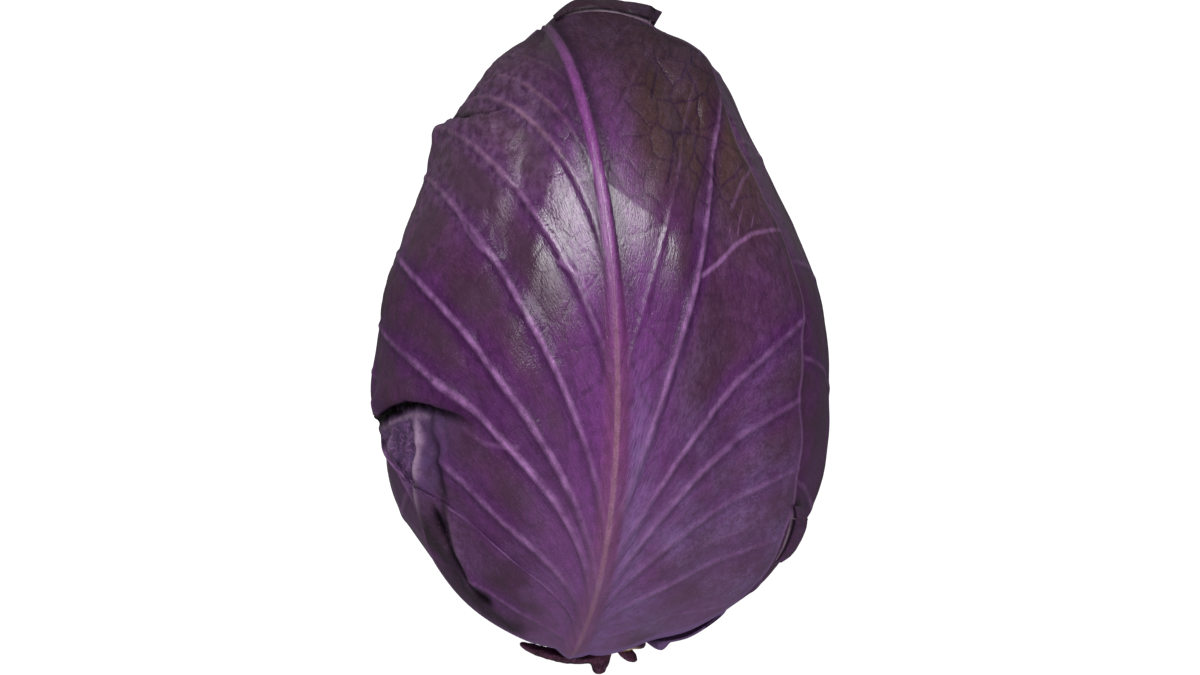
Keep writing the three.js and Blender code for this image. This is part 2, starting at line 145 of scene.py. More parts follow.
softbox("key_softbox", (-0.12, 0.62, 0.78), distance=3.0, size=(2.1, 1.5), power=99.0)
softbox("fill_softbox", (0.15, -0.75, 0.6), distance=3.0, size=(3.0, 2.0), power=55.0, mirrored=False)
world = bpy.data.worlds.new("studio")
world.use_nodes = True
room = world.node_tree.nodes["Background"]
room.inputs["Color"].default_value = ROOM_COLOUR
room.inputs["Strength"].default_value = ROOM_LIGHT
world.cycles_visibility.glossy = False
scene.world = world

# %% [markdown]
# The egg that every leaf wraps
#
# A leaf could be drawn point by point, but then nothing would fit its neighbour. Instead one formula gives
# the tight inner head, and a leaf is a height over it. These are the same formulas and sizes as in the CAD
# model.

# %% Small helpers
DEGREE = math.pi / 180


def mix(a, b, t):
    return a + (b - a) * t


def ease(t):
    s = np.clip(t, 0, 1)
    return s * s * (3 - 2 * s)


def bell(x):
    return np.exp(-np.square(x))


# %% The inner head's surface
HALF_LENGTH = 94.0
HALF_WIDTH = 64.75
AXIS_HEIGHT = 67.3
EGG_LEVEL, EGG_NARROWING, EGG_ROUNDING = 0.995, 0.14, -0.035


def egg_point(d):
    x, y, z = np.moveaxis(d, -1, 0)
    wide = EGG_LEVEL - EGG_NARROWING * y - EGG_ROUNDING * y * y
    return np.stack([x * HALF_WIDTH * wide, y * HALF_LENGTH, z * HALF_WIDTH * wide], -1)


def egg_normal(d):
    x, y, z = np.moveaxis(d, -1, 0)
    wide = EGG_LEVEL - EGG_NARROWING * y - EGG_ROUNDING * y * y
    slope = -EGG_NARROWING - 2 * EGG_ROUNDING * y
    rise = HALF_WIDTH * (y * wide - (x * x + z * z) * slope)
    normal = np.stack([x * HALF_LENGTH, rise, z * HALF_LENGTH], -1)
    return normal / np.linalg.norm(normal, axis=-1, keepdims=True)


# Where the head departs from a plain egg: size in mm, place along it and width as shares of its half length.
LEAN = (4.6, 0.62, 0.34)
BLUNT_TIP = (2.2, 0.87, 0.1)
FULL_FLANKS = (2.2, 0.17, 0.24)
FULL_LEFT_HIP = (3.4, -0.5, 0.16)
CUT_BACK_BASE = (1.2, -0.93, 0.1)
BASE_SLANT = 2.0


def swell(d):
    x, y, z = np.moveaxis(d, -1, 0)
    swellings = (LEAN, BLUNT_TIP, FULL_FLANKS, FULL_LEFT_HIP, CUT_BACK_BASE)
    lean, blunt, flanks, hip, base = [bell((y - at) / width) for _, at, width in swellings]
    slow = 0.9 * np.sin(3.1 * x + 2.3 * y + 0.6) * np.cos(2.7 * z - 1.9 * y)
    quick = 0.5 * np.sin(5.3 * y + 4.1 * x - 2.2 * z)
    upper = BLUNT_TIP[0] * blunt - LEAN[0] * np.maximum(x, 0) ** 1.5 * lean
    sides = FULL_FLANKS[0] * x * x * flanks + FULL_LEFT_HIP[0] * np.minimum(x, 0) ** 2 * hip
    return slow + quick + upper + sides - (CUT_BACK_BASE[0] + BASE_SLANT * x) * base


def over_heart(d, height, underneath):
    point = egg_point(d) + egg_normal(d) * (height + swell(d))[..., None]
    point[..., 2] = np.maximum(point[..., 2] + AXIS_HEIGHT, underneath)
    return point


# %% Places on a leaf
def direction(leaf, across, along):
    far = np.hypot(across, along) * DEGREE
    share = np.where(far < 1e-9, 1.0, np.sin(far) / np.maximum(far, 1e-9))
    front = np.cos(far)
    side = across * DEGREE * share
    turn = leaf["roll"] * DEGREE
    x = front * math.sin(turn) + side * math.cos(turn)
    z = front * math.cos(turn) - side * math.sin(turn)
    return np.stack([x, along * DEGREE * share, z], -1)


def place_on(leaf, d):
    x, y, z = np.moveaxis(d, -1, 0)
    turn = leaf["roll"] * DEGREE
    front = np.clip(x * math.sin(turn) + z * math.cos(turn), -1, 1)
    side = x * math.cos(turn) - z * math.sin(turn)
    far = np.arccos(front)
    share = far / np.maximum(np.sin(far), 1e-6) / DEGREE
    return side * share, y * share


# %% [markdown]
# The six outer leaves
#
# Each leaf has its turn round the head, how far it reaches, a midrib that drifts to one side, notches in its
# margin, and curls and waves where the margin is free. The numbers are those of the CAD model, but for one
# notch of outer_leaf_2, which is left out here so that no slit opens beside the top leaf.

# %% Leaf sizes
BLADE = 1.1
AIR = 0.9
VEIN_HEIGHT = 0.8
PRESSED_VEIN_HEIGHT = 0.45
RIB_HEIGHT = 2.6
RIB_HALF_WIDTH = 6.5
MOUND_WIDTH = 20.0
MM_PER_DEGREE = 71 * DEGREE
TOP_LEAF = "outer_leaf_1"


def leaf_sizes(name, place, roll, reach, taper, drift, notches, curls, waves):
    left, right, base, tip = reach
    return dict(name=name, place=place, roll=roll, left=left, right=right, base=base, tip=tip, taper=taper,
                drift=drift, notches=notches, curls=curls, waves=waves)


LEAVES = [
    leaf_sizes("outer_leaf_6", "covered", 180, (74, 72, -77, 84), 0.2, (3, 0, 0.002, 0.001),
               [(60, 12, -0.08)], [(-25, 22, 2.5)], (9, 1.2, 0.4)),
    leaf_sizes("outer_leaf_5", "covered", -62, (74, 76, -73, 86), 0.16, (-4, 5, -0.002, -0.001),
               [(40, 10, -0.06)], [(20, 25, 2.0)], (8, 1.0, 1.9)),
    leaf_sizes("outer_leaf_4", "covered", 62, (76, 72, -77, 87), 0.18, (3, -5, 0.001, 0.002),
               [(-35, 9, -0.07)], [(-30, 18, 3.0)], (10, 1.3, 2.7)),
    leaf_sizes("outer_leaf_3", "seen", -120, (78, 84, -73, 85), 0.2, (-3, 0, -0.001, -0.003),
               [(74, 8, -0.07), (-50, 9, -0.08)], [(-70, 30, 2.0), (15, 20, 2.5)], (9, 1.6, 3.6)),
    leaf_sizes("outer_leaf_2", "seen", 138, (84, 82, -74, 93), 0.22, (4, -8, 0.001, 0.003),
               [(66, 10, -0.06)], [(80, 26, 2.4), (0, 22, 3.5)], (10, 1.8, 5.1)),
    leaf_sizes("outer_leaf_1", "top", 0, (96, 66, -75, 90), 0.2, (2.3, -8, 0.0028, 0.0032),
               [(-133, 16, -0.3), (104, 26, -0.17), (62, 14, -0.12), (12, 18, -0.12), (-25, 18, -0.04)],
               [(-107, 8, 2.5), (-137, 14, 2.0), (-52, 7, 2.0), (30, 30, 1.0)], (11, 0.9, 0.8)),
]
print(len(LEAVES), "outer leaves, innermost first")


# %% The margin and the midrib
def margin_scale(leaf, where):
    a = where * DEGREE
    scale = 1 + (0.012 * np.sin(13 * a + leaf["roll"]) + 0.008 * np.sin(29 * a)) * np.abs(np.sin(a))
    for at, width, size in leaf["notches"]:
        scale = scale + size * bell((where - at) / width)
    return scale


def margin_point(leaf, where):
    scale = margin_scale(leaf, where)
    up = np.cos(where * DEGREE) * scale
    out = np.sin(where * DEGREE) * scale
    wide = np.where(where < 0, leaf["left"], leaf["right"]) * (1 - leaf["taper"] * up)
    return out * wide, (leaf["tip"] + leaf["base"]) / 2 + up * (leaf["tip"] - leaf["base"]) / 2


def level_on(leaf, across, along):
    up = (along - (leaf["tip"] + leaf["base"]) / 2) / ((leaf["tip"] - leaf["base"]) / 2)
    wide = np.where(across < 0, leaf["left"], leaf["right"]) * np.maximum(1 - leaf["taper"] * up, 0.3)
    out = across / wide
    return np.hypot(out, up) / margin_scale(leaf, np.arctan2(out, up) / DEGREE)


def midrib_across(leaf, along):
    most, at, below, above = leaf["drift"]
    return most - np.where(along < at, below, above) * np.square(along - at)


def rib_share(leaf, along):
    t = np.clip((along - leaf["base"]) / (leaf["tip"] - leaf["base"]), 0, 1)
    return mix(1, 0.14, t**0.6), mix(1, 0.16, t**0.75)


# %% How the leaves lie on one another
def cover(leaf, d):
    start, width = (1.03, 0.08) if leaf["name"] == TOP_LEAF else (1.08, 0.16)
    return 1 - ease((level_on(leaf, *place_on(leaf, d)) - start) / width)


def vein_height(leaf):
    return VEIN_HEIGHT if leaf["name"] == TOP_LEAF else PRESSED_VEIN_HEIGHT


def room_for(leaf, d):
    across, along = place_on(leaf, d)
    off = (across - midrib_across(leaf, along)) * MM_PER_DEGREE / MOUND_WIDTH
    return AIR + BLADE + vein_height(leaf) + RIB_HEIGHT * rib_share(leaf, along)[0] * bell(off)


def height_under(index, d):
    height = np.zeros(d.shape[:-1])
    for leaf in LEAVES[:index]:
        height += cover(leaf, d) * room_for(leaf, d)
    return height


def open_above(index, d):
    share = np.ones(d.shape[:-1])
    for leaf in LEAVES[index + 1:]:
        share = np.minimum(share, 1 - cover(leaf, d))
    return share


def lift(leaf, where, level):
    count, height, phase = leaf["waves"]
    wave = height * (0.5 + 0.5 * np.sin(count * where * DEGREE + phase))
    curl = sum(size * bell((where - at) / width) for at, width, size in leaf["curls"])
    return ease((level - 0.8) / 0.2) * wave + ease((level - 0.88) / 0.12) * curl


# %% [markdown]
# Side veins
#
# The rows of a leaf's grid follow its side veins, as they fan out from the midrib to the margin. A straight
# grid would need far more faces to show a slanting vein cleanly. The faces stand closest together along each
# vein.

# %% Side veins of each leaf
TOP_LEAF_VEINS = [
    # root, left end, right end, left strength, right strength, left turn out and up, right turn out and up
    (-72, -146, 148, 0.7, 0.6, 0.2, 0.6, 0.12, 1),
    (-68, -124, 133, 0.8, 0.8, 0.14, 0.75, 0.12, 1),
    (-62, -103, 120, 0.9, 0.9, 0.13, 0.7, 0.14, 0.9),
    (-57, -92, 108, 1.1, 1, 0.09, 0.78, 0.17, 0.78),
    (-49, -77, 93, 1.2, 1.1, 0.16, 0.62, 0.2, 0.66),
    (-38, -62, 48, 1.2, 1.3, 0.19, 0.56, 0.24, 0.4),
    (-12, -53, 37, 1, 0.4, 0.15, 0.5, 0.2, 0.35),
    (8, -47, 31, 1, 0, 0.11, 0.7, 0.2, 0.4),
    (26, -41, 24, 0.7, 0.3, 0.15, 0.65, 0.2, 0.45),
    (45, -34, 14, 0.5, 0.3, 0.2, 0.55, 0.2, 0.45),
]
SIDE_VEINS = {"seen": 6, "covered": 4}
TURN_OUT = 0.22
TURN_UP_HIGH, TURN_UP_LOW = 0.5, 0.85
MARGIN_TURN = (0.5, 0.02)
GUIDE_KEYS = ("root", "left", "right", "left_size", "right_size")
GUIDE_KEYS += ("left_out", "left_up", "right_out", "right_up")


def turn_of(where):
    return TURN_OUT, mix(TURN_UP_HIGH, TURN_UP_LOW, ease((abs(where) - 70) / 60))


def guides_of(leaf, index):
    if leaf["name"] == TOP_LEAF:
        veins = [list(vein) for vein in TOP_LEAF_VEINS]
    else:
        veins = []
        pairs = SIDE_VEINS[leaf["place"]]
        for k in range(pairs):
            t = (k + 0.6) / pairs
            uneven = 2.2 * math.sin(2.4 * k + 1.7 * index)
            root = mix(leaf["base"] + 4, leaf["tip"] - 46, t**1.15) + uneven
            left, right = -mix(156, 30, t) - uneven, mix(154, 28, t) - uneven
            veins.append([root, left, right, 1, 1, *turn_of(left), *turn_of(right)])
    ends = []
    for along, up in ((leaf["base"], -1), (leaf["tip"], 1)):
        across = float(midrib_across(leaf, along))
        wide = leaf["left" if across < 0 else "right"] * (1 - leaf["taper"] * up)
        ends.append(math.atan2(across / wide, up) / DEGREE)
    bottom, top = ends
    roots = [float(margin_point(leaf, np.float64(end))[1]) for end in ends]
    first = [roots[0], -163, 163, 0, 0, *MARGIN_TURN, *MARGIN_TURN]
    last = [roots[1], top - 8, top + 8, 0, 0, *MARGIN_TURN, *MARGIN_TURN]
    table = np.array([first, *veins, last], float)
    guides = {key: table[:, i] for i, key in enumerate(GUIDE_KEYS)}
    guides.update(bottom=bottom, top=top)
    return guides


def between(values, row):
    last = len(values) - 1
    k = np.minimum(np.floor(row), last - 1).astype(int)
    slopes = np.gradient(values)
    t = row - k
    t2, t3 = t * t, t * t * t
    start = (2 * t3 - 3 * t2 + 1) * values[k] + (t3 - 2 * t2 + t) * slopes[k]
    return start + (3 * t2 - 2 * t3) * values[k + 1] + (t3 - t2) * slopes[k + 1]


# %% A point of one row
def row_point(leaf, guides, row, side, share):
    """share is 0 on the midrib and 1 on the margin. A row rises beside the midrib, then turns outwards."""
    root = between(guides["root"], row)
    picked = [np.where(side < 0, between(guides["left" + key], row), between(guides["right" + key], row))
              for key in ("", "_out", "_up")]
    where, out, up = picked
    end_across, end_along = margin_point(leaf, where)
    wide = end_across - midrib_across(leaf, end_along)
    bent = np.minimum(np.minimum(row, len(guides["root"]) - 1 - row), 1)
    u = share / np.maximum(out + np.sqrt(out * out + (1 - 2 * out) * share), 1e-9)
    along = (1 - u) ** 2 * root + 2 * u * (1 - u) * mix(root, end_along, up) + u * u * end_along
    bottom = guides["bottom"] + np.where(guides["bottom"] * side < 0, 360 * side, 0)
    edge_across, edge_along = margin_point(leaf, mix(np.where(row < 1, bottom, guides["top"]), where, share))
    across = mix(edge_across, midrib_across(leaf, along) + share * wide, bent)
    foot = RIB_HALF_WIDTH * rib_share(leaf, root)[1] / MM_PER_DEGREE / np.abs(wide)
    return across, mix(edge_along, along, bent), where, np.clip(foot, 0.02, 0.2)


# %% [markdown]
# Folds and branches of the top leaf
#
# The top leaf has been handled. Its left half is lifted into an arch over a crumpled, sunken margin, a pleat
# closes its upper left edge, and its strongest veins branch. Each is a line over the leaf, and what a point
# of the grid does depends on how far it lies from that line and on which side.

# %% Distance from a line on a leaf
def along_line(points, across, along):
    """Signed distance in mm (less than 0 on the line's left, as it runs), and the share run."""
    points = np.array(points, float)
    lengths = np.hypot(*np.diff(points, axis=0).T)
    runs = np.concatenate([[0], np.cumsum(lengths)]) / lengths.sum()
    best = np.full(across.shape, 1e9)
    signed = np.zeros(across.shape)
    share = np.zeros(across.shape)
    for (x0, y0), (x1, y1), run, length in zip(points, points[1:], runs, lengths):
        t = np.clip(((across - x0) * (x1 - x0) + (along - y0) * (y1 - y0)) / length**2, 0, 1)
        far = np.hypot(across - mix(x0, x1, t), along - mix(y0, y1, t))
        side = np.sign((across - x0) * (y1 - y0) - (along - y0) * (x1 - x0))
        closer = far < best
        best = np.where(closer, far, best)
        signed = np.where(closer, far * np.where(side == 0, 1, side), signed)
        share = np.where(closer, run + t * length / lengths.sum(), share)
    return signed * MM_PER_DEGREE, share


FAR_OFF = 50.0  # in mm, for places with no branch
BRANCHES = [
    # points in degrees across and along, strength; less than 0 is a dark line
    ([(24, 11), (30, 14), (36, 18), (42, 21), (51, 23), (62, 25)], 0.7),
    ([(37, 26), (43, 34), (48, 38), (54, 42)], 0.35),
    ([(16, 28), (18, 34), (20, 40), (26, 45), (30, 50), (31, 55)], -0.8),
    ([(22, 18), (25, 27), (29, 33), (33, 40), (41, 43)], -0.7),
    ([(13, 49), (16, 59), (15, 66)], -0.9),
    ([(20, 40), (15, 43), (9, 43)], -0.5),
    ([(26, 45), (33, 46), (40, 50)], -0.5),
    ([(-13, 14), (-7, 11), (-4, 6)], 0.6),
    ([(-33, 16), (-40, 21), (-48, 30)], 0.35),
    ([(36, -7), (42, -3), (48, 2)], -0.35),
    ([(-20, -20), (-30, -20), (-38, -17)], 0.3),
    ([(24, -42), (35, -40), (45, -36)], 0.3),
]
ARCH = [(-90, -27), (-78, -20), (-65, -15), (-54, -12), (-45, -12), (-38, -14), (-31, -18)]
PLEAT = [(-74, 60), (-57, 54), (-44, 48), (-36, 47), (-28, 50)]
CREASES = [
    # points, height in mm (less than 0 is a groove), how pale or, in a groove, how dark its painted shade
    ([(-53, -14), (-51, -22), (-51, -31), (-49, -42)], 1.3, 0.9),
    ([(-48, -14), (-46, -21), (-43, -32), (-42, -46)], -1.2, 0.7),
    ([(-66, -20), (-63, -28), (-64, -36)], 0.7, 0.3),
    ([(-60, -18), (-57, -26), (-58, -34)], -0.5, 0.3),
    ([(-44, -30), (-41, -40), (-39, -50), (-34, -62)], 1.0, 0.15),
    ([(-82, 68), (-70, 64), (-57, 58), (-46, 52), (-38, 50)], -1.2, 0.9),
]


def branch_distance(across, along):
    """Signed mm from the nearest branch, and its strength close to it.

    Two rows of the grid on the two sides of a branch then give 0 between them, so it stays a thin line.
    """
    nearest = np.full(across.shape, FAR_OFF)
    strength = np.zeros(across.shape)
    for points, size in BRANCHES:
        far, share = along_line(points, across, along)
        closer = np.abs(far) < np.abs(nearest)
        tapered = size * (1 - 0.5 * share) * ease((1.0 - share) / 0.12) * ease(share / 0.04)
        strength = np.where(closer, tapered, strength)
        nearest = np.where(closer, far, nearest)
    return nearest, strength * ease((4.0 - np.abs(nearest)) / 1.5)


# %% The folds themselves
FOLD_LIP = 2.2
FOLDED = [
    # line, rise in mm, which way its lip leans across and along, which side of the line lies under it
    (ARCH, 3.4, (-0.25, -1.0), 1),
    (PLEAT, 2.4, (-0.3, 1.0), -1),
]
WILTED = [(-56, -30), (-50, -40), (-46, -48), (-41, -56), (-34, -63), (-26, -67)]
TORN = [(-46, -34), (-44, -41), (-42, -48), (-37, -56), (-31, -62)]


def folds(across, along):
    """Height in mm, sideways push in degrees, shares of crumpling, painted gap shade, pale rim and wilting.
    """
    height, shift_across, shift_along, gap, pale = [np.zeros(across.shape) for _ in range(5)]
    for line, rise, lean, under in FOLDED:
        far, share = along_line(line, across, along)
        inside = far * under
        ends = ease(share / 0.12) * ease((1 - share) / 0.25) * ease((across + 87) / 16)
        soft_ends = ease(share / 0.1) * ease((1 - share) / 0.3)
        height += rise * ends * ease((0.9 - inside) / 1.8) * bell(np.minimum(inside, 0) / 13)
        height += 1.0 * ends * bell((inside + 2.6) / 2.2) - 1.2 * soft_ends * bell((inside - 2.4) / 1.6)
        lip = FOLD_LIP * ends * (bell((inside + 0.6) / 1.6) - 0.6 * bell((inside - 1.8) / 1.4))
        shift_across += lip * lean[0] / MM_PER_DEGREE
        shift_along += lip * lean[1] / MM_PER_DEGREE
        # painted shade in the gap under the fold's lip
        gap = np.maximum(gap, soft_ends * ease((inside + 0.3) / 0.6) * ease((4.6 - inside) / 1.4))
        pale = np.maximum(pale, 0.45 * soft_ends * bell((inside - 5.4) / 0.6))
        if line is ARCH:
            crumple = ease(inside / 4) * ends * ease((34 - inside) / 16) * ease((-30 - across) / 10)
    pale *= ease((-44 - across) / 8)
    for points, rise, strength in CREASES:
        far, share = along_line(points, across, along)
        middle = np.sin(math.pi * np.clip(share, 0, 1)) ** 0.7
        height += rise * bell(far / 1.5) * middle
        if rise > 0:
            pale = np.maximum(pale, strength * bell(far / (1.4 - 0.9 * share)) * middle * mix(1, 0.3, share))
        else:
            # a groove gets painted shade
            gap = np.maximum(gap, strength * bell(far / 1.7) * middle)
    far, share = along_line(WILTED, across, along)
    wilt = bell(far / 3.6) * ease(share / 0.15)
    far, share = along_line(TORN, across, along)
    torn = bell(far / (0.8 + 1.5 * np.sin(9 * share) ** 2)) * ease(share / 0.1) * ease((1 - share) / 0.1)
    # painted shade along the tear
    gap = np.maximum(gap, torn)
    ripples = np.sin(0.9 * across + 1.4 * np.sin(0.37 * along))
    ripples = ripples * np.sin(0.55 * along + 0.8 * np.sin(0.6 * across))
    height += 0.8 * crumple * ripples - 0.7 * torn + 0.5 * wilt * ripples
    return height, shift_across, shift_along, crumple, np.stack([gap, pale, wilt], -1)


# %% [markdown]
# One leaf as a fine sheet
#
# The outer face is a fine grid, and the inner face, which hardly shows, has every fourth row and column only.
# Faces with seven corners along the margin join the two, so the leaf stays one closed skin. Where each point
# lies on the leaf is kept as attributes, which the colours use later.

# %% Rows and columns
INNER_STEP = 4
GRID = {"top": (27, 15, 124), "seen": (30, 9, 82), "covered": (22, 7, 54)}


def rows_of(guides, steps):
    last = len(guides["root"]) - 1
    t = np.arange(last * steps + 1) / steps
    closer = 0.7 / (2 * math.pi) * np.sin(2 * math.pi * t)
    rows = t - closer
    extra = -(len(rows) - 1) % INNER_STEP
    if extra:
        rows = np.interp(np.linspace(0, len(rows) - 1, len(rows) + extra), np.arange(len(rows)), rows)
        for k in range(last + 1):
            rows[np.argmin(np.abs(rows - k))] = k
    return rows


def columns_of(rib_steps, blade_steps):
    rib = np.arange(1, rib_steps + 1) / rib_steps
    blade = 1 + np.arange(1, blade_steps + 1) / blade_steps
    half = np.concatenate([rib, blade])
    half = half[: len(half) - len(half) % 2]
    half[-1] = 2
    return np.concatenate([-half[::-1], [0], half])


# %% Shape of one leaf
# Painted shade: a dark line on a leaf just outside the margin of the leaf that lies on it.
CONTACT_LEVEL = 1.022  # the dark line on a leaf just outside the margin of the one that lies on it
CONTACT_WIDTH = 0.03
CONTACT_SHADE_DARKNESS = 0.85


def shape_leaf(leaf, index):
    guides = guides_of(leaf, index)
    row_steps, rib_steps, blade_steps = GRID[leaf["place"]]
    rows = rows_of(guides, row_steps)[:, None]
    columns = columns_of(rib_steps, blade_steps)[None, :]
    side = np.where(columns < 0, -1.0, 1.0)
    c = np.abs(columns)
    foot = row_point(leaf, guides, rows, side, np.zeros_like(c))[3]
    u = np.where(c <= 1, c * foot, mix(foot, 1, c - 1))  # the share of the way from the midrib to the margin
    across, along, where, _ = row_point(leaf, guides, rows, side, u)
    level = level_on(leaf, across, along)

    # Millimetres from the nearest side vein, measured square to it.
    step = 0.01
    near_row = np.clip(rows, step, len(guides["root"]) - 1 - step)
    a1, b1 = row_point(leaf, guides, near_row + step, side, u)[:2]
    a0, b0 = row_point(leaf, guides, near_row - step, side, u)[:2]
    u1, u0 = np.minimum(u + step, 1), np.maximum(u - step, 0)
    a3, b3 = row_point(leaf, guides, near_row, side, u1)[:2]
    a2, b2 = row_point(leaf, guides, near_row, side, u0)[:2]
    up = np.stack([a1 - a0, b1 - b0], -1) / (2 * step)
    out = np.stack([a3 - a2, b3 - b2], -1)
    out /= np.maximum(np.linalg.norm(out, axis=-1, keepdims=True), 1e-9)
    apart = np.abs(up[..., 0] * out[..., 1] - up[..., 1] * out[..., 0]) * MM_PER_DEGREE
    nearest = np.round(rows).astype(int)
    from_vein = (rows - nearest) * apart
    sizes = np.where(side < 0, guides["left_size"][nearest], guides["right_size"][nearest])
    in_gap = np.sin(math.pi * np.mod(rows, 1.0))

    rib_high, rib_wide = rib_share(leaf, along)
    from_rib = (across - midrib_across(leaf, along)) * MM_PER_DEGREE
    rib_off = np.clip(np.abs(from_rib) / (RIB_HALF_WIDTH * rib_wide), 0, 1)
    rib = RIB_HEIGHT * rib_high * np.cos(rib_off * math.pi / 2) ** 1.3
    half_width = mix(1.8, 0.8, u) * np.clip(sizes, 0.5, 1.2)
    vein = vein_height(leaf) * np.minimum(sizes, 1.1) * (1 - 0.65 * u) * bell(from_vein / half_width)
    vein *= ease((c - 0.2) / 0.8)
    pucker = mix(0.15, 1, ease((np.abs(from_rib) - 16) / 30)) * mix(0.5, 1, ease((along + 20) / 50))
    thickness = mix(BLADE, 0.7, ease((level - 0.9) / 0.1)) + np.maximum(rib, vein)

    shown = ease((0.99 - level) / 0.06)
    top = leaf["name"] == TOP_LEAF
    crumple = np.zeros(across.shape)
    fold_marks = np.zeros((*across.shape, 3))
    branch = np.full(across.shape, FAR_OFF)
    branch_size = np.zeros(across.shape)
    relief = 0.4 * in_gap * (1 - bell(from_vein / 4)) * ease((c - 1) / 0.3) * shown * (1.0 if top else 0.3)
    if top:
        branch, branch_size = branch_distance(across, along)
        relief += 0.4 * branch_size * bell(branch / 0.9)
        fold, shift_across, shift_along, crumple, fold_marks = folds(across, along)
        relief += fold * ease((1.0 - level) / 0.03)
        across = across + shift_across * ease((1.0 - level) / 0.05)
        along = along + shift_along * ease((1.0 - level) / 0.05)

    d = direction(leaf, across, along)
    for upper in LEAVES[index + 1:]:
        # painted shade where the next leaf lies on this one, kept with the dark gaps of the folds
        contact_shade = ease((CONTACT_LEVEL - level_on(upper, *place_on(upper, d))) / CONTACT_WIDTH)
        fold_marks[..., 0] = np.maximum(fold_marks[..., 0], CONTACT_SHADE_DARKNESS * contact_shade)
    under = height_under(index, d) + AIR + lift(leaf, where, level) * open_above(index, d)
    beyond = np.maximum(0, height_under(len(LEAVES), d) - height_under(index + 1, d))
    outer = over_heart(d, under + thickness + relief, beyond)
    inner = over_heart(d, under, beyond + thickness)
    run = (along - leaf["base"]) / (leaf["tip"] - leaf["base"])
    ones = np.ones(across.shape)
    off_vein = np.abs(from_vein) + 4 * (sizes == 0)
    marks = {
        "leaf_place": np.stack([across * MM_PER_DEGREE, along * MM_PER_DEGREE, level], -1),
        "vein_marks": np.stack([off_vein, sizes * (1 - 0.55 * u), np.sign(from_vein)], -1),
        "rib_marks": np.stack([from_rib, run, branch], -1),
        "tints": np.stack([branch_size, crumple, shown * pucker * ones], -1),
        "folds": fold_marks,
        "grain": np.stack([rows * 9 * ones, u * 100 * side, side * ones], -1),
    }
    return outer * MM, inner * MM, marks


# %% Make the mesh of a leaf
def leaf_mesh(name, outer, inner, marks):
    high, wide = outer.shape[:2]
    coarse = inner[::INNER_STEP, ::INNER_STEP]
    coarse_high, coarse_wide = coarse.shape[:2]
    ids = np.arange(high * wide).reshape(high, wide)
    inner_ids = high * wide + np.arange(coarse_high * coarse_wide).reshape(coarse_high, coarse_wide)
    quads = np.stack([ids[:-1, :-1], ids[:-1, 1:], ids[1:, 1:], ids[1:, :-1]], -1).reshape(-1, 4)
    back = np.stack([inner_ids[:-1, :-1], inner_ids[1:, :-1], inner_ids[1:, 1:], inner_ids[:-1, 1:]], -1)
    faces = quads.tolist() + back.reshape(-1, 4).tolist()

    def loop_round(grid):
        return np.concatenate([grid[0, :-1], grid[:-1, -1], grid[-1, :0:-1], grid[:0:-1, 0]])

    fine, plain = loop_round(ids), loop_round(inner_ids)
    for k in range(len(plain)):
        a, b = plain[k], plain[(k + 1) % len(plain)]
        outside = [int(fine[(k * INNER_STEP + i) % len(fine)]) for i in range(INNER_STEP, -1, -1)]
        faces.append([int(a), int(b), *outside])

    points = np.concatenate([outer.reshape(-1, 3), coarse.reshape(-1, 3)])
    mesh = bpy.data.meshes.new(name)
    mesh.from_pydata(points.tolist(), [], faces)
    for key, values in marks.items():
        back_values = values[::INNER_STEP, ::INNER_STEP].reshape(-1, 3).copy()
        if key == "tints":
            back_values[:, 2] = 0
        both = np.concatenate([values.reshape(-1, 3), back_values])
        attribute = mesh.attributes.new(key, "FLOAT_VECTOR", "POINT")
        attribute.data.foreach_set("vector", both.astype(np.float32).ravel())
    mesh.validate()
    mesh.shade_smooth()
    return mesh


# %% [markdown]
# Puckers by Geometry Nodes
#
# Between its veins a cabbage leaf puckers into small cushions, a few millimetres wide. They follow a rule
# over the whole surface, so a node tree makes them: it reads where a point lies on the leaf, draws a net of
# cells there, and raises the middle of each cell. The sizes are inputs, so each leaf can have its own.

# %% Node helpers
class Value:
    """What a node gives, so that a rule in a node tree reads like a formula."""

    def __init__(self, tree, socket):
        self.tree = tree
        self.socket = socket

    def math(self, operation, *others):
        return calc(self.tree, operation, self, *others)

    def __add__(self, other):
        return self.math("ADD", other)

    def __sub__(self, other):
        return self.math("SUBTRACT", other)

    def __rsub__(self, other):
        return calc(self.tree, "SUBTRACT", other, self)

    def __mul__(self, other):
        return self.math("MULTIPLY", other)

    def __pow__(self, other):
        return self.math("POWER", other)

    def __abs__(self):
        return self.math("ABSOLUTE")

    def or_more(self, other):
        return self.math("MAXIMUM", other)

    def fade(self, start, end, low=0.0, high=1.0):
        """From low to high, softly, as this goes from start to end."""
        inputs = {"Value": self, "From Min": start, "From Max": end, "To Min": low, "To Max": high}
        return made(self.tree, "ShaderNodeMapRange", "Result", inputs, interpolation_type="SMOOTHSTEP")

    def toward(self, colour, share, kind="MIX"):
        return blend(self.tree, share, self, colour, kind)


def put(tree, kind, **settings):
    node = tree.nodes.new(kind)
    for key, value in settings.items():
        setattr(node, key, value)
    return node


def feed(tree, socket, value):
    if isinstance(value, Value):
        tree.links.new(value.socket, socket)
    else:
        socket.default_value = value


def made(tree, kind, output, inputs=None, **settings):
    """Add a node, feed its inputs by name or number, and return one of its outputs."""
    node = put(tree, kind, **settings)
    for key, value in (inputs or {}).items():
        feed(tree, node.inputs[key], value)
    return Value(tree, node.outputs[output])


def calc(tree, operation, *values):
    return made(tree, "ShaderNodeMath", 0, dict(enumerate(values)), operation=operation)


def vector(tree, operation, *values):
    return made(tree, "ShaderNodeVectorMath", 0, dict(enumerate(values)), operation=operation)


def scaled(tree, value, scale):
    return made(tree, "ShaderNodeVectorMath", 0, {0: value, "Scale": scale}, operation="SCALE")


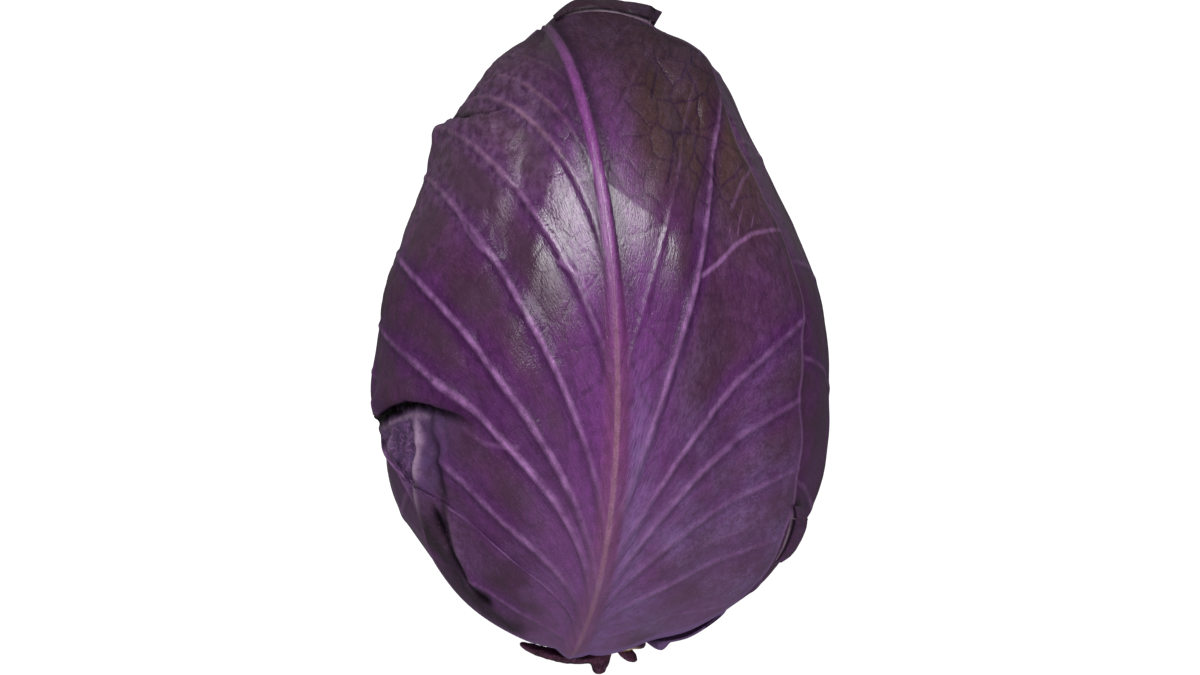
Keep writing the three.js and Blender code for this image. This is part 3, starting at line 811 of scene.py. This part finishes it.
def split(value):
    node = put(value.tree, "ShaderNodeSeparateXYZ")
    feed(value.tree, node.inputs[0], value)
    return [Value(value.tree, socket) for socket in node.outputs]


SOCKETS = {"Geometry": "NodeSocketGeometry", "Vector": "NodeSocketVector", "Material": "NodeSocketMaterial"}


def new_group(name, kind, inputs, outputs):
    """A node group, its inputs as values, and the sockets that its results go to."""
    tree = bpy.data.node_groups.new(name, kind)
    for title, default in inputs.items():
        kind_of_socket = SOCKETS.get(title, "NodeSocketFloat")
        socket = tree.interface.new_socket(title, in_out="INPUT", socket_type=kind_of_socket)
        if default is not None:
            socket.default_value = default
    for title in outputs:
        tree.interface.new_socket(title, in_out="OUTPUT", socket_type=SOCKETS.get(title, "NodeSocketFloat"))
    sockets = put(tree, "NodeGroupInput").outputs
    return tree, {title: Value(tree, sockets[title]) for title in inputs}, put(tree, "NodeGroupOutput").inputs


# %% Pucker tree
WARP_SCALE = 0.12
WARP_SIZE = (5, 5, 0)
FLAT = (1, 1, 0)


def warped(tree, point):
    """A place pushed about a little, so that a net of cells there is uneven."""
    warp = made(tree, "ShaderNodeTexNoise", "Color", {"Vector": point, "Scale": WARP_SCALE})
    return vector(tree, "MULTIPLY_ADD", warp, WARP_SIZE, point)


def from_cell_edge(tree, point, scale):
    inputs = {"Vector": point, "Scale": scale}
    settings = {"feature": "DISTANCE_TO_EDGE", "voronoi_dimensions": "2D"}
    return made(tree, "ShaderNodeTexVoronoi", "Distance", inputs, **settings)


def pushed_out(tree, geometry, height):
    offset = scaled(tree, made(tree, "GeometryNodeInputNormal", "Normal"), height)
    return made(tree, "GeometryNodeSetPosition", "Geometry", {"Geometry": geometry, "Offset": offset})


def dressed(tree, given, result, geometry):
    real = made(tree, "GeometryNodeRealizeInstances", "Geometry", {"Geometry": geometry})
    inputs = {"Geometry": real, "Material": given["Material"]}
    feed(tree, result["Geometry"], made(tree, "GeometryNodeSetMaterial", "Geometry", inputs))
    return tree


def pucker_tree():
    sizes = {"Cell Size": 9.0, "Cushion Height": 0.3, "Ripple Height": 0.15}
    inputs = {"Geometry": None, **sizes, "Material": None}
    tree, given, result = new_group("leaf_pucker", "GeometryNodeTree", inputs, ["Geometry"])
    place, tints = [
        made(tree, "GeometryNodeInputNamedAttribute", "Attribute", {"Name": name}, data_type="FLOAT_VECTOR")
        for name in ("leaf_place", "tints")
    ]
    flat = vector(tree, "MULTIPLY", place, FLAT)
    edge = from_cell_edge(tree, warped(tree, flat), calc(tree, "DIVIDE", 1.0, given["Cell Size"]))
    cushion = edge.fade(0.0, 0.32) * given["Cushion Height"]
    ripple = made(tree, "ShaderNodeTexNoise", "Fac", {"Vector": flat, "Scale": 0.07, "Detail": 3})
    height = (cushion + (ripple - 0.5) * given["Ripple Height"]) * split(tints)[2]
    return dressed(tree, given, result, pushed_out(tree, given["Geometry"], height * MM))


def set_inputs(modifier, tree, **values):
    for item in tree.interface.items_tree:
        if item.item_type == "SOCKET" and item.in_out == "INPUT" and item.name.replace(" ", "_") in values:
            modifier[item.identifier] = values[item.name.replace(" ", "_")]


def grow(name, mesh, tree, **values):
    """Run a node tree on a mesh and keep the result as a plain mesh object."""
    seed = bpy.data.objects.new(name + "_seed", mesh)
    scene.collection.objects.link(seed)
    modifier = seed.modifiers.new("grow", "NODES")
    modifier.node_group = tree
    set_inputs(modifier, tree, **values)
    graph = bpy.context.evaluated_depsgraph_get()
    grown = seed.evaluated_get(graph)
    mesh = bpy.data.meshes.new_from_object(grown, preserve_all_data_layers=True, depsgraph=graph)
    seed.modifiers.remove(modifier)
    bpy.data.objects.remove(seed)
    mesh.name = name
    piece = bpy.data.objects.new(name, mesh)
    scene.collection.objects.link(piece)
    return piece


def hand_over(piece, node):
    """Hide the CAD node that the piece stands for and attach the piece to the body."""
    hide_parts(node)
    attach(piece, BODY)
    print(piece.name, len(piece.data.vertices), "points")


LEAF_PUCKER = pucker_tree()
print("pucker tree has", len(LEAF_PUCKER.nodes), "nodes")

# %% [markdown]
# Colours of a red cabbage
#
# The violet sits in the skin under a clear wax, so each material is a rough violet base with a coat. The
# colour changes by rule: paler and brighter on the veins, darker beside them, brown between them and towards
# the tip, and bluish where the wax is thick. Some light and shade is painted in too: shade on the lower side
# of the veins, beside the midrib, in the gaps under folds and where leaves touch, and sheen and highlights in
# places. Effects that all the leaves share are node groups.


# %% Colour helpers
def paint_of(red, green, blue):
    """A colour as it looks on a screen, 0 to 255, for a node socket."""
    values = [channel / 255 for channel in (red, green, blue)]
    linear = [v / 12.92 if v <= 0.04045 else ((v + 0.055) / 1.055) ** 2.4 for v in values]
    return (*linear, 1.0)


def blend(tree, share, a, b, kind="MIX"):
    node = put(tree, "ShaderNodeMix", data_type="RGBA", blend_type=kind)
    for number, value in ((0, share), (6, a), (7, b)):
        feed(tree, node.inputs[number], value)
    return Value(tree, node.outputs[2])


def attribute(tree, name):
    return made(tree, "ShaderNodeAttribute", "Vector", attribute_name=name)


def noise(point, scale, detail, rough):
    inputs = {"Vector": point, "Scale": scale, "Detail": detail, "Roughness": rough}
    return made(point.tree, "ShaderNodeTexNoise", "Fac", inputs)


def new_material(name):
    material = bpy.data.materials.new(name)
    material.use_nodes = True
    return material, material.node_tree


def bumped(height, strength, distance):
    inputs = {"Height": height, "Strength": strength, "Distance": distance}
    return made(height.tree, "ShaderNodeBump", "Normal", inputs)


def fill_in(material, values):
    skin = material.node_tree.nodes["Principled BSDF"]
    for name, value in values.items():
        feed(material.node_tree, skin.inputs[name], value)
    return material


# %% Shared effects: the fine net, the grain along the veins, wax and specks
def net_group():
    inputs = {"Vector": None, "Cell Size": 9.0, "Line Width": 0.05}
    tree, given, result = new_group("fine_vein_net", "ShaderNodeTree", inputs, ["Lines", "Fine Lines"])
    bent = warped(tree, given["Vector"])
    wobble = made(tree, "ShaderNodeTexNoise", "Color", {"Vector": given["Vector"], "Scale": 0.7})
    rough = vector(tree, "MULTIPLY_ADD", wobble, (0.9, 0.9, 0), bent)
    for name, finer, point in (("Lines", 1.0, bent), ("Fine Lines", 3.4, rough)):
        edge = from_cell_edge(tree, point, calc(tree, "DIVIDE", finer, given["Cell Size"]))
        feed(tree, result[name], edge.fade(0.0, given["Line Width"] * finer**0.5, 1.0, 0.0))
    return tree


def grain_group():
    inputs = {"Vector": None, "Fineness": 1.0}
    tree, given, result = new_group("leaf_grain", "ShaderNodeTree", inputs, ["Streaks"])
    long_way = vector(tree, "MULTIPLY", given["Vector"], (1.0, 0.2, 1.0))
    wide = noise(long_way, given["Fineness"], 3.0, 0.6)
    fine = noise(long_way, given["Fineness"] * 4.6, 2.0, 0.65)
    feed(tree, result["Streaks"], (wide * 0.4 + fine * 0.6).fade(0.32, 0.68))
    return tree


def wax_group():
    inputs = {"Vector": None, "Speck Size": 0.8}
    tree, given, result = new_group("wax_and_specks", "ShaderNodeTree", inputs, ["Wax", "Specks"])
    feed(tree, result["Wax"], noise(given["Vector"], 0.055, 4.0, 0.6).fade(0.36, 0.68))
    dots = put(tree, "ShaderNodeTexVoronoi", feature="F1")
    feed(tree, dots.inputs["Vector"], given["Vector"])
    feed(tree, dots.inputs["Scale"], calc(tree, "DIVIDE", 1.0, given["Speck Size"]))
    dot = Value(tree, dots.outputs["Distance"]).fade(0.12, 0.4, 1.0, 0.0)
    chosen = made(tree, "ShaderNodeSeparateColor", 0, {0: Value(tree, dots.outputs["Color"])})
    feed(tree, result["Specks"], dot * chosen.fade(0.72, 0.95))
    return tree


NET, GRAIN, WAX = net_group(), grain_group(), wax_group()


def use(tree, group, inputs):
    node = put(tree, "ShaderNodeGroup", node_tree=group)
    for name, value in inputs.items():
        feed(tree, node.inputs[name], value)
    return [Value(tree, socket) for socket in node.outputs]


print("shared effects:", NET.name, GRAIN.name, WAX.name)


# %% Where on a leaf: the shares that a material mixes its colours by
def leaf_masks(tree):
    m = SimpleNamespace()
    place = attribute(tree, "leaf_place")
    m.right, m.up, m.level = split(place)
    m.vein, m.vein_size, m.vein_side = split(attribute(tree, "vein_marks"))
    m.rib_side, m.run, m.branch = split(attribute(tree, "rib_marks"))
    m.branch_size, m.crumple, _ = split(attribute(tree, "tints"))
    # The first folds mark is painted shade: under folds, in grooves and tears, and where leaves touch.
    m.gap, m.pale, m.wilt = split(attribute(tree, "folds"))
    m.rib = abs(m.rib_side)
    flat = vector(tree, "MULTIPLY", place, FLAT)
    m.net, m.fine_net = use(tree, NET, {"Vector": flat, "Cell Size": 9.5, "Line Width": 0.1})
    m.streaks = use(tree, GRAIN, {"Vector": attribute(tree, "grain"), "Fineness": 0.8})[0]
    m.wax, m.specks = use(tree, WAX, {"Vector": flat, "Speck Size": 0.7})
    m.patches = noise(flat, 0.045, 3.0, 0.55)
    m.mottle = noise(flat, 0.3, 4.0, 0.65)
    m.swells = noise(flat, 0.11, 2.0, 0.5)
    m.fine = noise(flat, 1.5, 3.0, 0.7)
    m.grit = noise(flat, 3.0, 2.0, 0.8)
    m.olive = m.right.fade(1, 19) * m.run.fade(0.55, 0.69)
    m.upper = m.run.fade(0.36, 0.6)
    return m


# %% Leaf material
VIOLET = paint_of(78, 34, 84)
BROWN = paint_of(66, 38, 58)
OLIVE = paint_of(68, 48, 39)
TIP_BROWN = paint_of(58, 34, 46)
CRUMPLED = paint_of(80, 66, 108)
DEEP = paint_of(40, 13, 42)
HALO = paint_of(62, 20, 70)
BRIGHT = paint_of(100, 42, 110)
LILAC = paint_of(150, 104, 156)
PINK = paint_of(124, 62, 128)
BAND = paint_of(106, 52, 88)
TAN = paint_of(148, 110, 118)
# The bluish wax bloom, also used for painted sheen in stripes beside the midrib.
BLOOM_AND_SHEEN = paint_of(110, 88, 132)
ASH = paint_of(52, 43, 54)
DUSK = paint_of(62, 39, 58)
WILTED_BROWN = paint_of(36, 24, 32)
# A pale haze colour, also used as a painted sheen on the upper left.
HAZE_AND_SHEEN = paint_of(118, 88, 122)
LIP_BLUE = paint_of(100, 76, 118)
# The colour of painted shade in gaps.
SHADE_BLACK = paint_of(10, 3, 10)
PALE_FOLD = paint_of(172, 146, 168)
SPECK = paint_of(120, 92, 122)



def skin_colour(tree, m, brownness):
    """Violet near the midrib and the veins, brown between them and at the tip, olive at the upper right."""
    between_veins = m.vein.fade(1.5, 8.0) * m.rib.fade(5.0, 30.0)
    browner = between_veins * 0.35 + m.run.fade(0.4, 0.9) * 0.5 + (m.patches * 1.5 - 0.55)
    colour = blend(tree, browner.fade(0.0, 0.9) * brownness, VIOLET, BROWN)
    colour = colour.toward(OLIVE, m.olive * (0.85 * brownness))
    colour = colour.toward(TIP_BROWN, m.run.fade(0.72, 0.92, 0.0, 0.85 * brownness))
    halo = m.vein.fade(1.0, 6.0, 0.75, 0.0) * m.patches.fade(0.3, 0.6, 0.5, 1.0)
    colour = colour.toward(HALO, halo * m.vein_size.fade(0.2, 0.8))
    near_rib = m.rib.fade(3.0, 24.0, 0.7, 0.0) * m.run.fade(0.6, 0.85, 1.0, 0.15)
    bright = near_rib * m.mottle.fade(0.3, 0.7, 0.5, 1.0)
    return colour.toward(BRIGHT, bright * m.olive.fade(0.0, 1.0, 1.0, 0.1))


def draw_veins(tree, m, colour, net_strength, vein_strength):
    """The dark net, then each vein with a dark foot and painted shade, a paler crest with a painted
    highlight, then branches.
    """
    lines = (m.olive * 0.6 + 0.4) * net_strength * m.patches.fade(0.35, 0.6, 0.4, 1.0)
    colour = colour.toward(DEEP, m.net * lines).toward(DEEP, m.fine_net * lines * 0.3)
    # The foot is the vein's dark purple colour with painted shade, deeper on its side towards the stalk.
    foot = m.vein.fade(0.8, 3.4, 1.0, 0.0) * m.vein_size * m.vein_side.fade(-0.5, 0.5, 0.6, 0.15)
    colour = colour.toward(DEEP, foot * vein_strength)
    uneven = m.mottle.fade(0.3, 0.6, 0.6, 1.0) * m.swells.fade(0.35, 0.6, 0.45, 1.0)
    grainy = uneven * m.rib.fade(3.0, 18.0, 0.3, 1.0) * m.fine.fade(0.3, 0.6, 0.8, 1.0)
    # The paler crest is the vein's pale colour with a painted highlight that comes and goes.
    pale_crest_and_highlight = m.vein.fade(0.0, 1.4, 0.9, 0.0) * m.vein_size**1.5 * grainy * vein_strength
    high_left = m.up.fade(25.0, 55.0, 0.0, 0.8) * m.rib_side.fade(-3.0, -8.0)
    colour = colour.toward(blend(tree, high_left, LILAC, TAN), pale_crest_and_highlight)
    branch = abs(m.branch).fade(0.1, 1.0, 1.0, 0.0) * m.branch_size
    return colour.toward(LILAC, branch * 0.85).toward(DEEP, branch * -1.0)


def draw_midrib(m, colour):
    """High up a grainy pink ridge between dark valleys with painted shade, low down a thin tan line in a
    reddish band.
    """
    lower = 1.0 - m.upper
    # The valleys are dark purple with painted shade, deeper on the right of the ridge.
    valley_shade = m.rib.fade(2.4, 8.0, 1.0, 0.0) * m.rib_side.fade(-1.0, 2.0, 0.55, 0.85) * m.upper
    band = m.rib.fade(2.0, 5.4, 0.55, 0.0) * lower
    grainy = m.fine.fade(0.3, 0.62, 0.55, 1.0)
    ridge = m.rib.fade(0.9, 2.6, 1.0, 0.0) * m.upper * grainy * m.run.fade(0.82, 0.96, 1.0, 0.25)
    core = m.rib.fade(0.3, 1.2, 0.5, 0.0) * lower * grainy
    return colour.toward(DEEP, valley_shade).toward(BAND, band).toward(PINK, ridge).toward(TAN, core)


def weather(tree, m, colour, bloom_and_sheen_strength):
    """Streaks, haze, painted sheen and wax, grey patches between veins, handled parts, painted shade, the
    margin.
    """
    shade = (m.streaks * 0.42 + 0.76) * m.mottle.fade(0.25, 0.75, 0.86, 1.14)
    shade = shade * m.run.fade(0.66, 1.0, 1.0, 0.5) * m.grit.fade(0.3, 0.7, 0.84, 1.16)
    colour = colour.toward(shade, 1.0, kind="MULTIPLY")

    haze = m.run.fade(0.0, 0.5, 0.55, 0.0) * m.grit.fade(0.35, 0.65, 0.45, 1.0)
    haze = haze * m.rib_side.fade(-30.0, -8.0, 0.4, 1.0)
    # A painted sheen lightens the upper part left of the midrib.
    painted_sheen = m.up.fade(15.0, 45.0) * m.rib_side.fade(-8.0, -22.0) * m.mottle.fade(0.35, 0.65, 0.05, 0.38)
    colour = colour.toward(HAZE_AND_SHEEN, haze.or_more(painted_sheen))
    between_veins = m.vein.fade(1.5, 5.0) * m.rib.fade(10.0, 24.0)
    dusk = between_veins * m.patches.fade(0.42, 0.62, 0.05, 0.75) * m.rib_side.fade(0.0, 1.0, 1.0, 0.35)
    colour = colour.toward(DUSK, dusk)
    low_right = m.run.fade(0.1, 0.5, 1.0, 0.2) * m.rib_side.fade(0.0, 12.0, 0.35, 1.0)
    bloom = low_right * m.wax * m.streaks.fade(0.2, 0.9, 0.3, 1.0)
    # Bluish stripes beside the midrib in the lower half are painted sheen in the bloom colour.
    sheen_stripes = m.rib_side.fade(2.5, 5.0) * m.rib_side.fade(7.0, 16.0, 1.0, 0.0)
    sheen_stripes = sheen_stripes * m.run.fade(0.3, 0.5, 1.0, 0.0) * m.streaks
    colour = colour.toward(BLOOM_AND_SHEEN, bloom.or_more(sheen_stripes) * bloom_and_sheen_strength)

    colour = colour.toward(blend(tree, m.mottle, BROWN, CRUMPLED), m.crumple * 0.75)
    # Thin lilac lines in the crumpled part under the arch are painted highlights on its ripples.
    curls = abs(m.mottle - 0.5).fade(0.0, 0.035, 0.4, 0.0) * m.right.fade(-67.0, -60.0, 1.0, 0.15)
    colour = colour.toward(LILAC, m.crumple * curls)
    colour = colour.toward(blend(tree, m.fine, WILTED_BROWN, ASH), m.wilt * 0.9)
    colour = colour.toward(PALE_FOLD, m.pale * m.mottle.fade(0.3, 0.6, 0.6, 0.95))
    # painted shade in the gaps under folds, in grooves and tears, and where leaves touch
    colour = colour.toward(SHADE_BLACK, m.gap)
    colour = colour.toward(LILAC, m.level.fade(0.972, 0.996, 0.0, 0.35))
    base_lip = m.level.fade(0.972, 0.99) * m.run.fade(0.08, 0.16, 0.85, 0.0)
    return colour.toward(LIP_BLUE, base_lip).toward(SPECK, m.specks * 0.25)


# Where the polished wax ends, in mm: its left side and its lowest part, both ragged, and the two straight
# lines on the right, each as a point of the line (up, right) and a slope.
POLISH_LEFT = (-22.5, -19.5)
POLISH_LOW = (2.0, 18.0)
POLISH_TOP = (28.5, 12.5, 0.55)
POLISH_RIGHT = (64.0, 11.0, 0.26)


def polish(m):
    """The wax shines near the midrib, and ends on the right in two straight lines where another leaf lay."""
    left = (m.mottle * 9.0 + (m.fine * 3.0 + m.right)).fade(*POLISH_LEFT, 0.3, 1.0)
    low = (m.mottle * -14.0 + m.up).fade(*POLISH_LOW, 0.35, 1.0)
    up, right, slant = POLISH_TOP
    over_top = (m.up - ((right - m.right) * slant + up)).fade(-0.5, 0.7) * m.rib_side.fade(1.0, 3.0)
    up, right, slant = POLISH_RIGHT
    past_edge = (m.right - ((up - m.up) * slant + right)).fade(-0.6, 0.6)
    return left * low * (1.0 - over_top.or_more(past_edge) * 0.75)


def leaf_material(name, brownness, net_strength, vein_strength, bloom_and_sheen_strength):
    material, tree = new_material(name)
    m = leaf_masks(tree)
    colour = skin_colour(tree, m, brownness)
    colour = draw_veins(tree, m, colour, net_strength, vein_strength)
    colour = weather(tree, m, draw_midrib(m, colour), bloom_and_sheen_strength)
    open_skin = 1.0 - m.gap.or_more(m.wilt * 0.6)
    carved = (m.fine_net * 0.4 + m.net) * m.olive.fade(0, 1, 0.32, 1.0)
    wrinkled = m.mottle * m.right.fade(-8.0, -30.0, 0.5, 2.0)
    grain = m.streaks * 0.45 + m.fine * 0.5 + wrinkled
    rough_skin = bumped(grain - carved * 0.8, 0.7, 0.18 * MM)
    return fill_in(material, {
        "Base Color": colour,
        "Roughness": m.streaks * 0.1 + 0.5,
        "Specular IOR Level": 0.12,
        "Coat Weight": open_skin * (polish(m) * m.wax.fade(0.0, 1.0, 1.0, 0.8)),
        "Coat Roughness": 0.15,
        "Coat IOR": 1.57,
        "Normal": rough_skin,
        "Coat Normal": rough_skin,
    })


TOP_SKIN = leaf_material(
    "top_leaf_skin", brownness=1.0, net_strength=0.8, vein_strength=0.9, bloom_and_sheen_strength=0.7
)
UNDER_SKIN = leaf_material(
    "under_leaf_skin", brownness=0.35, net_strength=0.6, vein_strength=0.9, bloom_and_sheen_strength=0.1
)
print("leaf materials:", TOP_SKIN.name, UNDER_SKIN.name)

# %% Build the leaves
TOP_PUCKERS = {"Cushion_Height": 0.35, "Ripple_Height": 1.0, "Material": TOP_SKIN}
UNDER_PUCKERS = {"Cushion_Height": 0.12, "Ripple_Height": 0.3, "Material": UNDER_SKIN}
for index, leaf in enumerate(LEAVES):
    top = leaf["name"] == TOP_LEAF
    sheet = leaf_mesh(leaf["name"] + "_sheet", *shape_leaf(leaf, index))
    puckers = TOP_PUCKERS if top else UNDER_PUCKERS
    piece = grow("fine_" + leaf["name"], sheet, LEAF_PUCKER, Cell_Size=9.5, **puckers)
    hand_over(piece, leaf["name"])

# %% [markdown]
# Torn edges of the second leaf
#
# The second leaf's tip stands out behind the top leaf as a short torn lip that ends in a small beak, and low
# on the right a small lobe of it stands off. Each is a strip from a line on the head out to a free edge. Rays
# from above find where the head is.

# %% Build the torn edges
# Each line runs on from left to right or from tip to stalk, in mm right and up.
TIP_ROOT = [(-16.5, 101), (-11, 103), (-5, 103.8), (1, 103.6)]
TIP_ROOT += [(6, 102.6), (10, 101.4), (13, 100.4), (14.6, 99.6)]
TIP_EDGE = [(-17.5, 103.2), (-13, 106.8), (-8.5, 108.5), (-2.5, 108.2)]
TIP_EDGE += [(4, 107.8), (10, 107.2), (14, 106.4), (17.6, 105)]
LOBE_ROOT = [(57.5, -52), (57.6, -56), (57.0, -60), (56.0, -64), (54.6, -68), (53.4, -70.5)]
LOBE_EDGE = [(61.5, -53), (63.4, -57.5), (62.6, -62), (60.8, -66), (58.6, -69.6), (55.6, -71.8)]
STRIP_GRID = (49, 13)
STRIP_THICKNESS = 1.0
DOWN = (0, 0, -1)


def height_below(x, y):
    start = (x * MM, y * MM, 1)
    found = [bpy.data.objects["fine_" + leaf["name"]].ray_cast(start, DOWN) for leaf in LEAVES]
    return max(hit[1].z / MM for hit in found if hit[0])


def along_points(points, count):
    points = np.array(points, float)
    return np.stack([between(points[:, i], np.linspace(0, len(points) - 1, count)) for i in (0, 1)], -1)


def strip_sheet(name, root_line, edge_line, droop, run):
    """run says how near the leaf's tip the strip is, from 0 to 1, and so how brown."""
    long, wide = STRIP_GRID
    root, edge = along_points(root_line, long), along_points(edge_line, long)
    foot = np.array([height_below(x, y) for x, y in root])
    t = np.linspace(0, 1, long)[:, None]
    u = np.linspace(0, 1, wide)[None, :]
    top = np.empty((long, wide, 3))
    for i in (0, 1):
        top[..., i] = mix(root[:, i : i + 1], edge[:, i : i + 1], u)
    ruffle = (0.6 * np.sin(19 * t + 2) + 0.3 * np.sin(41 * t)) * u
    top[..., 2] = foot[:, None] - droop * u**1.5 + 0.9 * np.sin(math.pi * u) + ruffle
    low = top - np.array([0, 0, STRIP_THICKNESS])
    fill = np.ones((long, wide))
    marks = {
        "leaf_place": np.stack([top[..., 0], top[..., 1], fill * 0.9], -1),
        "vein_marks": np.stack([3 + 20 * np.abs(np.mod(5 * t, 1) - 0.5) * fill, fill * 0.3, fill], -1),
        "rib_marks": np.stack([fill * 40, fill * run, fill * FAR_OFF], -1),
        "tints": np.zeros((long, wide, 3)),
        # painted shade: a dark line a fifth of the way from the root to the free edge; a pale line along the
        # root
        "folds": np.stack([bell((u - 0.22) / 0.1) * fill, bell(u / 0.1) * ease(t / 0.4), 0 * fill], -1),
        "grain": np.stack([t * 30 * fill, u * 30 * fill, fill], -1),
    }
    marks = {key: value[::-1] for key, value in marks.items()}
    return leaf_mesh(name + "_sheet", top[::-1] * MM, low[::-1] * MM, marks)


for name, root_line, edge_line, droop, run in (
    ("tip_lip", TIP_ROOT, TIP_EDGE, 5.0, 0.97),
    ("side_lobe", LOBE_ROOT, LOBE_EDGE, 9.0, 0.4),
):
    piece = grow(name, strip_sheet(name, root_line, edge_line, droop, run), LEAF_PUCKER, Material=TOP_SKIN)
    hand_over(piece, "outer_leaf_2")

# %% [markdown]
# The heart and the stalk
#
# The heart shows only in thin gaps, so a smoother copy of its solid does. The stalk's solid is smoothed the
# same way and gets torn, fibrous skin: dark purple on the broken leaf bases, pale and dry on the cut.

# %% Smoothing tree
def smooth_tree():
    sizes = {"Voxel Size": 0.5 * MM, "Roughness Height": 0.2 * MM, "Roughness Scale": 400.0}
    inputs = {"Geometry": None, **sizes, "Material": None}
    tree, given, result = new_group("smooth_skin", "GeometryNodeTree", inputs, ["Geometry"])
    voxel = given["Voxel Size"]
    by_voxel = {"resolution_mode": "VOXEL_SIZE"}
    inputs = {"Mesh": given["Geometry"], "Voxel Size": voxel, "Interior Band Width": voxel * 4.0}
    volume = made(tree, "GeometryNodeMeshToVolume", 0, inputs, **by_voxel)
    inputs = {"Volume": volume, "Voxel Size": voxel, "Threshold": 0.3}
    skin = made(tree, "GeometryNodeVolumeToMesh", "Mesh", inputs, **by_voxel)
    position = made(tree, "GeometryNodeInputPosition", 0)
    inputs = {"Value": position, "Iterations": 5}
    relaxed = made(tree, "GeometryNodeBlurAttribute", "Value", inputs, data_type="FLOAT_VECTOR")
    inputs = {"Geometry": skin, "Position": relaxed}
    settled = made(tree, "GeometryNodeSetPosition", "Geometry", inputs)
    inputs = {"Vector": position, "Scale": given["Roughness Scale"], "Detail": 4}
    rough = made(tree, "ShaderNodeTexNoise", "Fac", inputs)
    uneven = pushed_out(tree, settled, (rough - 0.5) * given["Roughness Height"])
    even = made(tree, "GeometryNodeSetShadeSmooth", "Geometry", {"Geometry": uneven})
    return dressed(tree, given, result, even)


SMOOTH_SKIN = smooth_tree()
print("smoothing tree has", len(SMOOTH_SKIN.nodes), "nodes")

# %% Stalk and heart materials
STUMP_RADIUS = 12.5
CUT_FACE = -100.0
CUT_PALE = paint_of(190, 176, 140)
PITH = paint_of(214, 204, 172)
STALK_PURPLE = paint_of(82, 44, 66)
STALK_DARK = paint_of(46, 22, 34)


def in_mm(tree):
    return scaled(tree, made(tree, "ShaderNodeTexCoord", "Object"), 1 / MM)


def stalk_material():
    material, tree = new_material("stalk_skin")
    point = in_mm(tree)
    x, y, z = split(point)
    high = z - AXIS_HEIGHT
    radius = (x * x + high * high).math("SQRT")
    fibres = noise(vector(tree, "MULTIPLY", point, (1, 0.15, 1)), 1.6, 4.0, 0.7)
    blotches = noise(point, 0.25, 4.0, 0.6)
    colour = blend(tree, blotches.fade(0.35, 0.65), STALK_DARK, STALK_PURPLE)
    colour = colour.toward(LILAC, fibres.fade(0.5, 0.75, 0.0, 0.35))
    near_cut = y.fade(CUT_FACE - 0.9, CUT_FACE - 0.4) * y.fade(CUT_FACE + 1.4, CUT_FACE + 2.4, 1, 0)
    on_cut = radius.fade(STUMP_RADIUS * 0.84, STUMP_RADIUS * 0.96, 1.0, 0.0) * near_cut
    cut = blend(tree, radius.fade(4.0, 7.5), PITH, CUT_PALE)
    cut = cut.toward(BAND, fibres.fade(0.4, 0.7, 0.0, 0.45))
    return fill_in(material, {
        "Base Color": colour.toward(cut, on_cut),
        "Roughness": on_cut * 0.35 + 0.45,
        "Specular IOR Level": 0.2,
        "Normal": bumped(fibres, 0.8, 0.3 * MM),
    })


def heart_material():
    material, tree = new_material("heart_skin")
    point = in_mm(tree)
    streaks = noise(vector(tree, "MULTIPLY", point, (1, 0.2, 1)), 0.7, 4.0, 0.6)
    colour = blend(tree, streaks.fade(0.3, 0.7), VIOLET, BRIGHT)
    return fill_in(material, {
        "Base Color": colour.toward(LILAC, split(point)[1].fade(-85, -40, 0.6, 0.0)),
        "Roughness": streaks * 0.2 + 0.35,
        "Coat Weight": 0.4,
        "Normal": bumped(streaks, 0.5, 0.2 * MM),
    })


STALK_SKIN, HEART_SKIN = stalk_material(), heart_material()
print("inner materials:", STALK_SKIN.name, HEART_SKIN.name)

# %% Build the heart and the stalk
for node, voxel, roughness, fineness, material, slot in (
    ("heart", 1.4 * MM, 0.3 * MM, 60.0, HEART_SKIN, "heart_leaf"),
    ("stalk", 0.45 * MM, 0.7 * MM, 500.0, STALK_SKIN, "stalk"),
):
    solid = bpy.data.objects[node].data.copy()
    grown_sizes = {"Voxel_Size": voxel, "Roughness_Height": roughness, "Roughness_Scale": fineness}
    hand_over(grow("fine_" + node, solid, SMOOTH_SKIN, Material=material, **grown_sizes), node)
